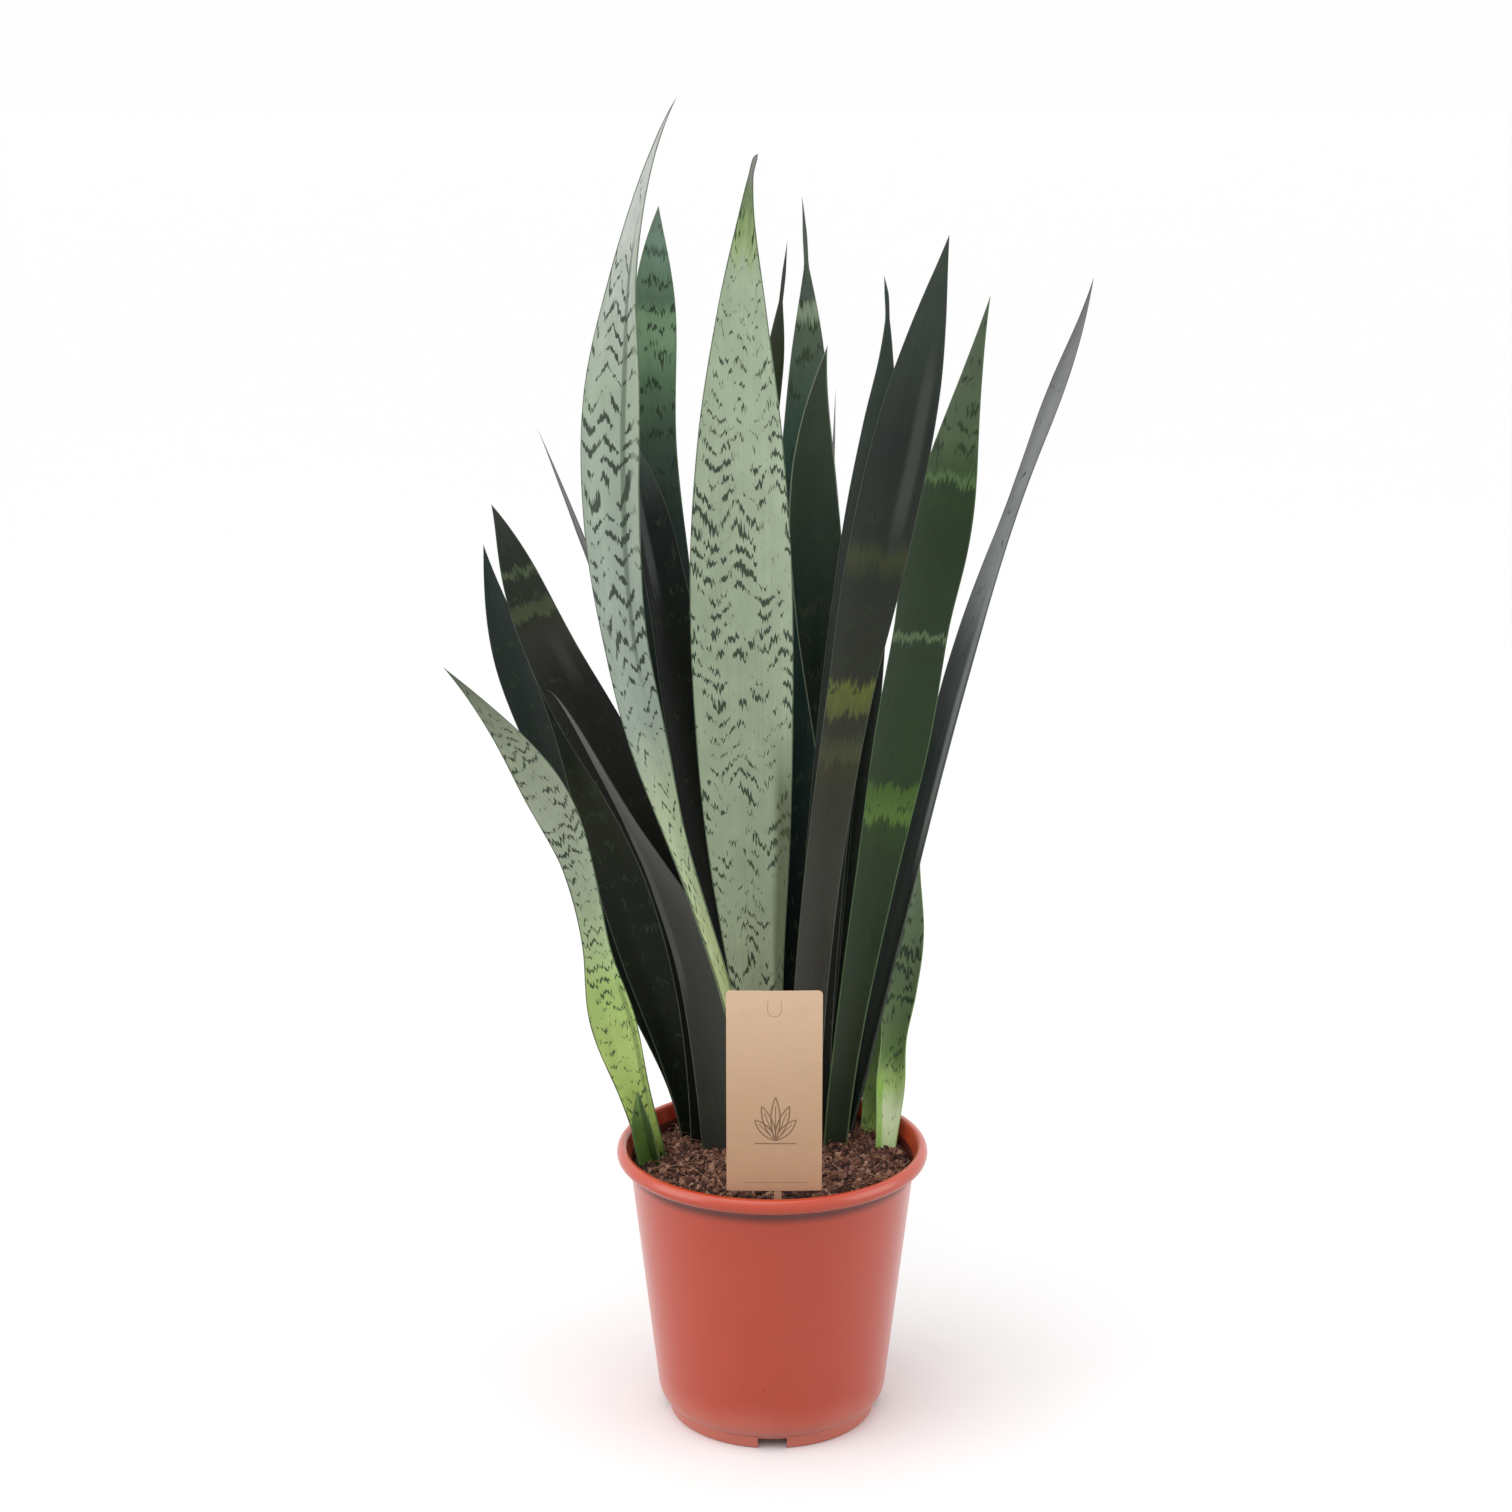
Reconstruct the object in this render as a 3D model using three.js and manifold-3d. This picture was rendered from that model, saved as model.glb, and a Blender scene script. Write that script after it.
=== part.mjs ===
// Potted snake plant: a thin-walled nursery pot, its potting mix, the strap leaves that stand in
// it and a plain card tag. Millimetres, +Z up. The origin is on the pot's axis, on the surface
// that the pot stands on, and -Y is the front.
import * as THREE from 'three';
import { ParametricGeometry } from 'three/addons/geometries/ParametricGeometry.js';
import { mergeVertices } from 'three/addons/utils/BufferGeometryUtils.js';
import Module from 'manifold-3d';

const wasm = await Module();
wasm.setup();

// ---- driving dimensions ----
const RIM_R = 86.5;        // outside of the rolled rim
const POT_H = 158;         // top of the rim
const BODY_TOP_R = 79;     // outside of the wall, just under the rim
const BODY_LOW_R = 64;     // outside of the wall, above the rounded bottom corner
const BODY_TOP_Z = 146;
const BODY_LOW_Z = 15;
const FOOT_R = 57.8;       // foot ring
const FOOT_W = 6.5;
const FLOOR_Z = 7;         // underside of the floor, held up by the foot ring
const WALL = 1.6;
const FLOOR_T = 2;
const SIDES = 48;          // facets round the pot and the soil
const HOLE_R = 5;          // drainage holes
const HOLE_RING_R = 38;
const HOLES = 8;
const NOTCH_W = 16;        // openings in the foot ring
const NOTCH_H = 6.4;
const NOTCHES = 4;
const GAP = 0.35;          // between pieces that touch
const SOCKET_GAP = 0.8;    // round a leaf's section, which leaves about GAP at its thin edges
const SOIL_EDGE_Z = 145.5;
const SOIL_TOP_Z = 148.5;
const ROOT_Z = 122;        // the leaves' lower ends, inside the soil
const LEAF_ROWS = 17;      // lengthwise steps of a leaf
const BASE_T = 3.4;        // a leaf's thickness at its base, over most of its length and at its tip
const BLADE_T = 2.4;
const AWL_W = 2.6;         // width of the thin point that some leaves end in
const CARD = { left: -24.7, right: 26, low: 157.5, high: 269.5, t: 0.8, corner: 2.5, front: -70.4 };
const TONGUE = { x: 2.6, w: 4, t: 0.8, top: 166, low: 128 };

const tones = {
  pale: { color: 0x8fa383, roughness: 0.5 },
  dark: { color: 0x1f2b24, roughness: 0.42 },
  green: { color: 0x33492f, roughness: 0.45 },
  lime: { color: 0x8fae5a, roughness: 0.5 },
};

// ---- leaves ----
// rib: control points of the midrib, from the end in the soil to the tip.
// wide: width of the strap at equal steps along it, closing to nothing at the tip.
// face: compass turn of its upper side in degrees, base and tip; 0 faces the front.
// cup: how far each half curls up, in degrees, base and tip.
// awl: share of the length that is a thin point beyond the blade.
const leaves = [
  { name: 'leaf_sheath_left', tone: 'green', face: [0, 0], cup: [80, 50],
    rib: [[-63, -2, 122], [-68, -5, 150], [-74, -8, 172], [-74, -9, 191]],
    wide: [13, 14, 15, 15, 13, 7] },
  { name: 'leaf_pale_left', tone: 'pale', face: [10, -10], cup: [60, 25],
    rib: [[-62, 10, 122], [-78, 1, 219.5], [-122, -14, 284], [-62, -36, 327], [-172, -36, 435.5]],
    wide: [15, 19.5, 28.5, 16.5, 18, 24.5] },
  { name: 'leaf_dark_outer_left', tone: 'dark', face: [0, 0], cup: [50, 15],
    rib: [[-41, 47, 122], [-52.5, 42, 218], [-139, 33, 371], [-155, 21, 490.5]],
    wide: [16, 15.5, 25, 21.5, 18, 20] },
  { name: 'leaf_dark_banded_left', tone: 'dark', face: [0, 0], cup: [50, 15],
    rib: [[-36, 27, 122], [-32.5, 15, 385.5], [-121, -13, 385], [-120, -56, 477], [-143, -56, 524]],
    wide: [22, 24.5, 28.5, 34, 29, 19.5] },
  { name: 'leaf_dark_broad_left', tone: 'dark', face: [5, 0], cup: [50, 15],
    rib: [[-43, 37, 122], [-27, 40, 165], [-97, 23, 337], [-139, -18, 462]],
    wide: [22, 24, 29, 33, 24, 6] },
  { name: 'leaf_grey_twisted_left', tone: 'dark', face: [-10, -75], cup: [40, 10],
    rib: [[-28, 13, 122], [-40, 4, 371], [-54, -9, 251], [-99, -44, 424], [-118, -44, 425]],
    wide: [19, 25, 28, 20, 11, 9] },
  { name: 'leaf_needle_left', tone: 'dark', face: [-40, -78], cup: [40, 10],
    rib: [[-35, 55, 122], [-27.5, 69, 301], [-97, 86, 463], [-132, 109, 542]],
    wide: [14, 15, 16, 15.5, 13, 12] },
  { name: 'leaf_pale_tall', tone: 'pale', face: [30, 20], cup: [60, 40],
    rib: [[-6, -2, 122], [-14, -25, 344.5], [-136, -36, 397], [-87, -40, 661], [-48, -40, 724.5]],
    wide: [14, 10, 9, 12.5, 24.5, 28.5, 35, 34, 16, 5] },
  { name: 'leaf_green_back_left', tone: 'green', face: [0, 10], cup: [50, 15],
    rib: [[-17, 46, 122], [-54.5, 53, 327.5], [-72, 70, 583.5], [-62, 90, 665]],
    wide: [18, 25, 29.5, 31.5, 22, 24] },
  { name: 'leaf_dark_mid_left', tone: 'dark', face: [10, 30], cup: [50, 20],
    rib: [[-6, 36, 122], [-27, 38, 310], [-63, 39, 491], [-76, 40, 546]],
    wide: [20, 29, 35, 35, 26, 20] },
  { name: 'leaf_pale_centre', tone: 'pale', awl: 0.038, face: [0, 0], cup: [50, 12],
    rib: [[4, 22, 122], [-17, 20, 266], [-18, 18, 445.5], [-22, 15, 681], [-8, 15, 695]],
    wide: [16, 22, 34.5, 49.5, 57, 57, 46, 27, 9] },
  { name: 'leaf_narrow_back', tone: 'dark', awl: 0.06, face: [0, 30], cup: [40, 15],
    rib: [[4, 62, 122], [-40, 79, 316], [-6, 101, 503.5], [8.5, 127, 644]],
    wide: [14, 15.5, 17, 18, 18.5, 18.5, 18, 17, 16, 14.5, 13, 11] },
  { name: 'leaf_teal_back', tone: 'dark', awl: 0.06, face: [0, 0], cup: [50, 15],
    rib: [[7, 52, 122], [-11.5, 71, 295.5], [32, 96, 499.5], [16.5, 121, 669]],
    wide: [18, 21, 25, 31, 37, 39.5, 36.5, 28.5, 19] },
  { name: 'leaf_dark_mid_right', tone: 'dark', face: [0, 0], cup: [50, 15],
    rib: [[27, 59, 122], [84, 62, 284], [-2, 73, 451], [30.5, 91, 589.5]],
    wide: [18, 23.5, 27, 28.5, 31, 25.5] },
  { name: 'leaf_needle_back', tone: 'dark', face: [60, 80], cup: [30, 10],
    rib: [[17, 63, 122], [23, 76, 272], [32, 99, 452.5], [36, 125, 562]],
    wide: [10, 12, 13, 13, 13, 11] },
  { name: 'leaf_dark_back_right', tone: 'dark', awl: 0.07, face: [0, 20], cup: [50, 15],
    rib: [[25, 32, 122], [15, 49, 359], [74, 67, 568], [61, 91, 627.5]],
    wide: [18, 21, 24, 25.5, 27.5, 29, 27.5, 20.5, 8.5] },
  { name: 'leaf_dark_tall_right', tone: 'dark', face: [5, 15], cup: [50, 15],
    rib: [[17, 9, 122], [14.5, -19, 334], [54, -64, 520], [82, -124, 662.5]],
    wide: [18, 20, 21.5, 25.5, 33.5, 28] },
  { name: 'leaf_green_right', tone: 'green', face: [0, 15], cup: [50, 15],
    rib: [[35, 22, 122], [34.5, 20, 238], [95, 11, 474], [61, -3, 403], [112, -3, 624.5]],
    wide: [14, 17, 24.5, 32.5, 31.5, 34.5] },
  { name: 'leaf_folded_far_right', tone: 'dark', face: [-40, -40], cup: [70, 55],
    rib: [[36, 49, 122], [70, 32, 233], [102, 41, 500.5], [154, 56, 533.5], [172, 56, 629.5]],
    wide: [15, 14.5, 19, 18.5, 10.5, 12.5] },
  { name: 'leaf_narrow_right', tone: 'dark', face: [-30, -30], cup: [50, 20],
    rib: [[32, 38, 122], [43.5, 42, 243], [47, 54, 325], [65.5, 68, 463.5]],
    wide: [14, 12, 10, 10, 11, 9] },
  { name: 'leaf_mottled_right', tone: 'green', face: [5, 15], cup: [60, 25],
    rib: [[61, 9, 122], [70, 40, 187], [65, 53, 210], [84, 66, 304]],
    wide: [11, 14, 18.5, 16.5, 22.5, 21] },
  { name: 'leaf_young_pale_right', tone: 'lime', face: [-10, -10], cup: [70, 30],
    rib: [[60, 24, 122], [68, 31, 160], [71, 55, 191.5], [81, 84, 246]],
    wide: [9, 8, 8, 10, 10.5, 8] },
  { name: 'leaf_young_green_right', tone: 'lime', face: [-20, -20], cup: [60, 30],
    rib: [[52, 35, 122], [58.5, 42, 150], [57, 59, 187], [65, 77, 224]],
    wide: [14, 13, 11, 12, 14, 14] },
];

// A midrib with any number of control points; the last step also gives its direction.
class Rib extends THREE.Curve {
  constructor(points) {
    super();
    this.points = points.map((p) => new THREE.Vector3(...p));
  }
  lastPair(t) {
    let row = this.points;
    while (row.length > 2) row = row.slice(1).map((p, i) => row[i].clone().lerp(p, t));
    return row;
  }
  getPoint(t) {
    const [a, b] = this.lastPair(t);
    return a.clone().lerp(b, t);
  }
  getTangent(t) {
    const [a, b] = this.lastPair(t);
    return b.clone().sub(a).normalize();
  }
}

// Smooth curve through equally spaced widths, reaching zero where the blade ends; the awl goes on
// from there to the tip.
function widthAt({ wide, awl = 0 }, t) {
  const w = [2 * wide[0] - wide[1], ...wide, 0, -wide.at(-1)];
  const point = awl > 0 ? AWL_W * Math.min(1, (1 - t) / (0.7 * awl)) : 0;
  if (t >= 1 - awl) return point;
  const x = Math.min(t / (1 - awl), 0.999999) * wide.length;
  const i = Math.floor(x);
  const f = x - i;
  const [a, b, c, d] = w.slice(i, i + 4);
  return Math.max(point, b + 0.5 * f * (c - a + f * (2 * a - 5 * b + 4 * c - d + f * (3 * (b - c) + d - a))));
}

function thicknessAt(t) {
  const blade = THREE.MathUtils.lerp(BASE_T, BLADE_T, THREE.MathUtils.smoothstep(t, 0, 0.4));
  return blade * (1 - 0.45 * t) * (1 - t ** 8);
}

// Point on a leaf's skin. turn goes once round the lens-shaped section, which is bent into an
// arc; grow makes the slightly larger solid that cuts the leaf's socket in the soil.
function leafPoint(leaf, rib, t, turn, grow, target) {
  const facing = THREE.MathUtils.degToRad(THREE.MathUtils.lerp(...leaf.face, t));
  const along = rib.getTangent(t);
  const side = new THREE.Vector3(Math.cos(facing), Math.sin(facing), 0);
  side.addScaledVector(along, -side.dot(along)).normalize();
  const up = new THREE.Vector3().crossVectors(side, along);
  const bend = THREE.MathUtils.degToRad(THREE.MathUtils.lerp(...leaf.cup, t));
  const half = widthAt(leaf, t) / 2;
  const s = -Math.cos(turn);
  const a = bend * s;
  const skin = Math.sin(turn) * (thicknessAt(t) / 2 + grow);
  target.copy(rib.getPoint(t))
    .addScaledVector(side, (half * Math.sin(a)) / bend + Math.cos(a) * s * grow - Math.sin(a) * skin)
    .addScaledVector(up, (half * (1 - Math.cos(a))) / bend + Math.sin(a) * s * grow + Math.cos(a) * skin);
}

// A closed strap from its root to row `rows` of LEAF_ROWS; both ends close on a point.
function leafGeometry(leaf, rows = LEAF_ROWS, grow = 0) {
  const rib = new Rib(leaf.rib);
  const steps = rows + 1 + (rows < LEAF_ROWS ? 1 : 0);
  const place = (u, v, target) => {
    const row = Math.round(v * steps);
    const t = Math.min(Math.max(row - 1, 0), rows) / LEAF_ROWS;
    if (row === 0 || row === steps) target.copy(rib.getPoint(t));
    else leafPoint(leaf, rib, t, (u === 1 ? 0 : u) * 2 * Math.PI, grow, target);
    if (row < 2) target.addScaledVector(rib.getTangent(0), -grow);
  };
  return new ParametricGeometry(place, 8, steps);
}

// ---- solids ----
// One closed skin: shared corners merged, collapsed triangles dropped, faces pointing out.
function closed(geometry) {
  const bare = geometry.clone();
  for (const name of ['normal', 'uv']) bare.deleteAttribute(name);
  const merged = mergeVertices(bare, 1e-4);
  const index = merged.index.array;
  const p = merged.attributes.position;
  const corner = (i) => new THREE.Vector3().fromBufferAttribute(p, i);
  const kept = [];
  let volume = 0;
  for (let i = 0; i < index.length; i += 3) {
    const [a, b, c] = index.slice(i, i + 3);
    if (a === b || b === c || c === a) continue;
    kept.push([a, b, c]);
    volume += corner(a).dot(corner(b).cross(corner(c)));
  }
  if (volume < 0) kept.forEach((tri) => tri.reverse());
  merged.setIndex(kept.flat());
  return merged;
}

function solid(geometry) {
  const skin = closed(geometry);
  return new wasm.Manifold(new wasm.Mesh({
    numProp: 3,
    vertProperties: new Float32Array(skin.attributes.position.array),
    triVerts: new Uint32Array(skin.index.array),
  }));
}

function unsolid(manifold) {
  const mesh = manifold.getMesh();
  const geometry = new THREE.BufferGeometry();
  geometry.setAttribute('position', new THREE.BufferAttribute(mesh.vertProperties, 3));
  geometry.setIndex(new THREE.BufferAttribute(mesh.triVerts, 1));
  geometry.computeVertexNormals();
  return geometry;
}

function lathe(points) {
  const profile = points.map(([r, z]) => new THREE.Vector2(r, z));
  return new THREE.LatheGeometry(profile, SIDES).rotateX(Math.PI / 2);
}

const wallR = (z) => THREE.MathUtils.mapLinear(z, BODY_LOW_Z, BODY_TOP_Z, BODY_LOW_R, BODY_TOP_R);

function pot() {
  const inner = (z) => wallR(z) - WALL;
  const floorTop = FLOOR_Z + FLOOR_T;
  let body = solid(lathe([
    [0, FLOOR_Z], [FOOT_R - FOOT_W, FLOOR_Z], [FOOT_R - FOOT_W + 0.5, 0], [FOOT_R - 0.8, 0],
    [FOOT_R, 0.9], [FOOT_R + 0.6, 6.4], [FOOT_R + 0.4, FLOOR_Z], [FOOT_R + 2.7, 8.4],
    [BODY_LOW_R - 1.3, 11], [BODY_LOW_R, BODY_LOW_Z],
    [BODY_TOP_R, BODY_TOP_Z], [RIM_R - 6.1, 148.4], [RIM_R - 2.6, 149.4], [RIM_R - 0.6, 150.8],
    [RIM_R, 153], [RIM_R - 0.4, 155.4], [RIM_R - 1.7, POT_H - 0.6], [RIM_R - 3.4, POT_H],
    [RIM_R - 5, POT_H - 0.5], [RIM_R - 6, POT_H - 2], [inner(BODY_TOP_Z) + 0.6, BODY_TOP_Z + 2],
    [inner(BODY_LOW_Z), BODY_LOW_Z], [inner(BODY_LOW_Z) - 1.2, 11.6], [FOOT_R + 1, floorTop], [0, floorTop],
  ]));
  for (let i = 0; i < HOLES; i++) {
    const a = ((i + 0.5) / HOLES) * 2 * Math.PI;
    const hole = new THREE.CylinderGeometry(HOLE_R, HOLE_R, 12, 16).rotateX(Math.PI / 2);
    hole.translate(HOLE_RING_R * Math.cos(a), HOLE_RING_R * Math.sin(a), FLOOR_Z);
    body = body.subtract(solid(hole));
  }
  for (let i = 0; i < NOTCHES; i++) {
    const notch = new THREE.BoxGeometry(NOTCH_W, 14, 2 * NOTCH_H).translate(0, FOOT_R - 2, 0);
    body = body.subtract(solid(notch.rotateZ((i * 2 * Math.PI) / NOTCHES)));
  }
  return unsolid(body);
}

// The card is a rounded sheet that leans back a little at the top; its tongue runs down
// just inside the rim into the potting mix.
function tagPlate(grow = 0) {
  const { left, right, low, high, corner, t, front } = CARD;
  const shape = new THREE.Shape();
  shape.moveTo(left, low);
  shape.lineTo(right, low);
  shape.lineTo(right, high - corner);
  shape.absarc(right - corner, high - corner, corner, 0, Math.PI / 2);
  shape.lineTo(left + corner, high);
  shape.absarc(left + corner, high - corner, corner, Math.PI / 2, Math.PI);
  const plate = new THREE.ExtrudeGeometry(shape, { depth: t, bevelEnabled: false, curveSegments: 5 });
  const card = solid(plate.rotateX(Math.PI / 2).translate(0, front + t, 0));
  const size = [TONGUE.w, TONGUE.t, TONGUE.top - TONGUE.low].map((d) => d + 2 * grow);
  const tongue = new THREE.BoxGeometry(...size);
  tongue.translate(TONGUE.x, front + t / 2 - 0.3, (TONGUE.top + TONGUE.low) / 2);
  return grow > 0 ? solid(tongue) : card.add(solid(tongue));
}

function soil() {
  const edge = (z) => wallR(z) - WALL - GAP;
  const low = FLOOR_Z + FLOOR_T + GAP;
  let mix = solid(lathe([
    [0, low], [FOOT_R - 0.5, low], [edge(BODY_LOW_Z) - 1.8, 11.6], [edge(BODY_LOW_Z), BODY_LOW_Z],
    [edge(SOIL_EDGE_Z), SOIL_EDGE_Z], [60, SOIL_EDGE_Z + 1], [30, SOIL_TOP_Z - 0.5], [0, SOIL_TOP_Z],
  ]));
  for (const leaf of leaves) mix = mix.subtract(solid(leafGeometry(leaf, rowsBelow(leaf), SOCKET_GAP)));
  return unsolid(mix.subtract(tagPlate(GAP)));
}

// How many lengthwise steps of a leaf it takes to come clear of the soil.
function rowsBelow(leaf) {
  const rib = new Rib(leaf.rib);
  let row = 1;
  while (rib.getPoint(row / LEAF_ROWS).z < SOIL_TOP_Z + 12) row++;
  return row;
}

// ---- the object ----
const group = new THREE.Group();

function add(name, geometry, look) {
  const mesh = new THREE.Mesh(geometry, new THREE.MeshStandardMaterial({ metalness: 0, ...look }));
  mesh.name = name;
  group.add(mesh);
}

add('pot', pot(), { color: 0xb5503a, roughness: 0.38 });
add('soil', soil(), { color: 0x5a3a2c, roughness: 0.95 });
add('plant_tag', unsolid(tagPlate()), { color: 0xcaa583, roughness: 0.8 });
for (const leaf of leaves) add(leaf.name, closed(leafGeometry(leaf)), tones[leaf.tone]);

export default group;
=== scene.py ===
"""A potted snake plant: strap leaves in a thin nursery pot of coir mix, with a plain card tag.
Metres, +Z up, the pot's axis through the origin, -Y the front."""
import math

import bpy
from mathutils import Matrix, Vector, noise


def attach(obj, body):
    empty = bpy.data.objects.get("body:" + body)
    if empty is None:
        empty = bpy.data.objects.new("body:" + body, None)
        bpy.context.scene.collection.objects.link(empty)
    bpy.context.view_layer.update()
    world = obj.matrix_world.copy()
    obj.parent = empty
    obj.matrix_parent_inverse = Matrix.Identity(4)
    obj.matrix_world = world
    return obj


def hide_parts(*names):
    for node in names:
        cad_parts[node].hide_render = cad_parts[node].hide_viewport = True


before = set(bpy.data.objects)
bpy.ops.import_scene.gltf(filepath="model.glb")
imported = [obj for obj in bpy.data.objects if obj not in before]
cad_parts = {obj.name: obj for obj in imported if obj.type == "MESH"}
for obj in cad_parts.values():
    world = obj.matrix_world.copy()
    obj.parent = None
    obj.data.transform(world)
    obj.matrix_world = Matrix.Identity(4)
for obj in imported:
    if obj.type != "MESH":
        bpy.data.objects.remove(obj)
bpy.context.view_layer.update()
MM = 0.001


# ---------------------------------------------------------------- node kit
class Field:
    """One output of a node. Sums, differences, products and ratios of fields become nodes."""

    def __init__(self, tree, socket):
        self.tree, self.socket = tree, socket

    def out(self, name):
        return Field(self.tree, choose(self.socket.node.outputs, name))

    def join(self, word, other, turned=False):
        pair = (other, self) if turned else (self, other)
        vector = any(isinstance(v, Field) and v.socket.type == "VECTOR" for v in pair)
        kind = "ShaderNodeVectorMath" if vector else "ShaderNodeMath"
        return put(self.tree, kind, dict(enumerate(pair)), operation=word)

    def __add__(self, other):
        return self.join("ADD", other)

    def __radd__(self, other):
        return self.join("ADD", other)

    def __sub__(self, other):
        return self.join("SUBTRACT", other)

    def __rsub__(self, other):
        return self.join("SUBTRACT", other, True)

    def __mul__(self, other):
        return self.join("MULTIPLY", other)

    def __rmul__(self, other):
        return self.join("MULTIPLY", other)

    def __truediv__(self, other):
        return self.join("DIVIDE", other)


def choose(sockets, key):
    """A socket by its place, or the one in use of those that share a name."""
    if isinstance(key, int):
        return sockets[key]
    return next(s for s in sockets if s.name == key and s.enabled)


def put(tree, kind, inputs=None, out=0, **settings):
    """Adds a node, sets it, links or fills its inputs and returns one of its outputs."""
    node = tree.nodes.new(kind)
    for key, value in settings.items():
        setattr(node, key, value)
    for key, value in (inputs or {}).items():
        socket = choose(node.inputs, key)
        if isinstance(value, Field):
            tree.links.new(value.socket, socket)
        elif socket.type == "VECTOR" and isinstance(value, (int, float)):
            socket.default_value = (value,) * 3
        elif socket.type == "RGBA":
            socket.default_value = (*value[:3], 1)
        else:
            socket.default_value = value
    return Field(tree, choose(node.outputs, out)) if len(node.outputs) else node


def calc(word, *values):
    tree = next(v.tree for v in values if isinstance(v, Field))
    return put(tree, "ShaderNodeMath", dict(enumerate(values)), operation=word)


def triple(x, y, z):
    tree = next(v.tree for v in (x, y, z) if isinstance(v, Field))
    return put(tree, "ShaderNodeCombineXYZ", {0: x, 1: y, 2: z})


def parts_of(vector):
    split = put(vector.tree, "ShaderNodeSeparateXYZ", {0: vector})
    return split, split.out("Y"), split.out("Z")


def ease(value, start, end, low=0.0, high=1.0):
    """Low up to start, high from end on, and a smooth step between."""
    ends = {"Value": value, "From Min": start, "From Max": end, "To Min": low, "To Max": high}
    return put(value.tree, "ShaderNodeMapRange", ends, interpolation_type="SMOOTHSTEP")


def cloud(place, scale=1.0, detail=2.0):
    return put(place.tree, "ShaderNodeTexNoise", {"Vector": place, "Scale": scale, "Detail": detail})


def tinted(amount, under, over, how="MIX"):
    tree = next(v.tree for v in (amount, under, over) if isinstance(v, Field))
    return put(tree, "ShaderNodeMix", {0: amount, 6: under, 7: over}, 2, data_type="RGBA", blend_type=how)


def srgb(*levels):
    """A colour named by its 0 to 255 display levels, as the linear values that shaders take."""
    return tuple(c / 3294.6 if c <= 10.3 else ((c / 255 + 0.055) / 1.055) ** 2.4 for c in levels)


def stops(value, marks):
    """A colour ramp through marks of (position, colour or grey level)."""
    spread = put(value.tree, "ShaderNodeValToRGB", {"Fac": value})
    bar = spread.socket.node.color_ramp
    for i, (place, tone) in enumerate(marks):
        stop = bar.elements[i] if i < 2 else bar.elements.new(place)
        stop.position = place
        stop.color = (*tone, 1) if isinstance(tone, tuple) else (tone, tone, tone, 1)
    return spread


SOCKETS = {
    "geometry": "NodeSocketGeometry", "material": "NodeSocketMaterial", "vector": "NodeSocketVector",
    "float": "NodeSocketFloat", "int": "NodeSocketInt", "color": "NodeSocketColor",
}


def group(name, kind, inputs, outputs):
    """Starts a node group. Gives its tree, its inputs by name and its output node."""
    tree = bpy.data.node_groups.new(name, kind)
    for label, (sort, value) in inputs.items():
        socket = tree.interface.new_socket(label, in_out="INPUT", socket_type=SOCKETS[sort])
        if value is not None:
            socket.default_value = value
    for label, sort in outputs.items():
        tree.interface.new_socket(label, in_out="OUTPUT", socket_type=SOCKETS[sort])
    door = tree.nodes.new("NodeGroupInput")
    fields = {label: Field(tree, door.outputs[label]) for label in inputs}
    return tree, fields, tree.nodes.new("NodeGroupOutput")


def settle(tree, exit_node, **results):
    for label, field in results.items():
        tree.links.new(field.socket, exit_node.inputs[label])
    return tree


def use(tree, effect, out=0, **values):
    """Places a shader node group with its own values."""
    node = tree.nodes.new("ShaderNodeGroup")
    node.node_tree = effect
    for label, value in values.items():
        socket = node.inputs[label.replace("_", " ")]
        if isinstance(value, Field):
            tree.links.new(value.socket, socket)
        else:
            socket.default_value = value
    return Field(tree, node.outputs[out])


def finish_tree(tree, exit_node, geometry, material):
    """Ends a geometry tree: no instances left, and its material set."""
    real = put(tree, "GeometryNodeRealizeInstances", {"Geometry": geometry})
    done = put(tree, "GeometryNodeSetMaterial", {"Geometry": real, "Material": material})
    return settle(tree, exit_node, Geometry=done)


def grown(name, base, tree, **values):
    """Runs a geometry tree on the mesh `base` and returns the result as one plain mesh object."""
    holder = bpy.data.objects.new(name + "_grown", base)
    bpy.context.scene.collection.objects.link(holder)
    modifier = holder.modifiers.new("grow", "NODES")
    modifier.node_group = tree
    sockets = {s.name: s.identifier for s in tree.interface.items_tree if s.in_out == "INPUT"}
    for label, value in values.items():
        modifier[sockets[label.replace("_", " ")]] = value
    graph = bpy.context.evaluated_depsgraph_get()
    mesh = bpy.data.meshes.new_from_object(holder.evaluated_get(graph), depsgraph=graph)
    bpy.data.objects.remove(holder)
    mesh.name = name
    piece = bpy.data.objects.new(name, mesh)
    bpy.context.scene.collection.objects.link(piece)
    return piece


def bare_mesh(name, points, faces=(), **attributes):
    """A mesh with point attributes given as name=(type, values)."""
    mesh = bpy.data.meshes.new(name)
    mesh.from_pydata([tuple(p) for p in points], [], faces)
    for label, (sort, values) in attributes.items():
        layer = mesh.attributes.new(label, sort, "POINT")
        flat = [c for v in values for c in v] if sort == "FLOAT_VECTOR" else values
        layer.data.foreach_set("vector" if sort == "FLOAT_VECTOR" else "value", flat)
    return mesh


def outward(mesh):
    """Turns a closed mesh's faces outwards if its signed volume says that they point in."""
    mesh.calc_loop_triangles()
    corners = [v.co for v in mesh.vertices]
    volume = sum(
        corners[a].dot(corners[b].cross(corners[c]))
        for a, b, c in (t.vertices for t in mesh.loop_triangles)
    )
    if volume < 0:
        mesh.flip_normals()


def place(piece, node, slot):
    """The piece stands for a CAD node on the root body, whose part is hidden; the slot is not used."""
    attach(piece, "root")
    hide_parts(node)


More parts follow.
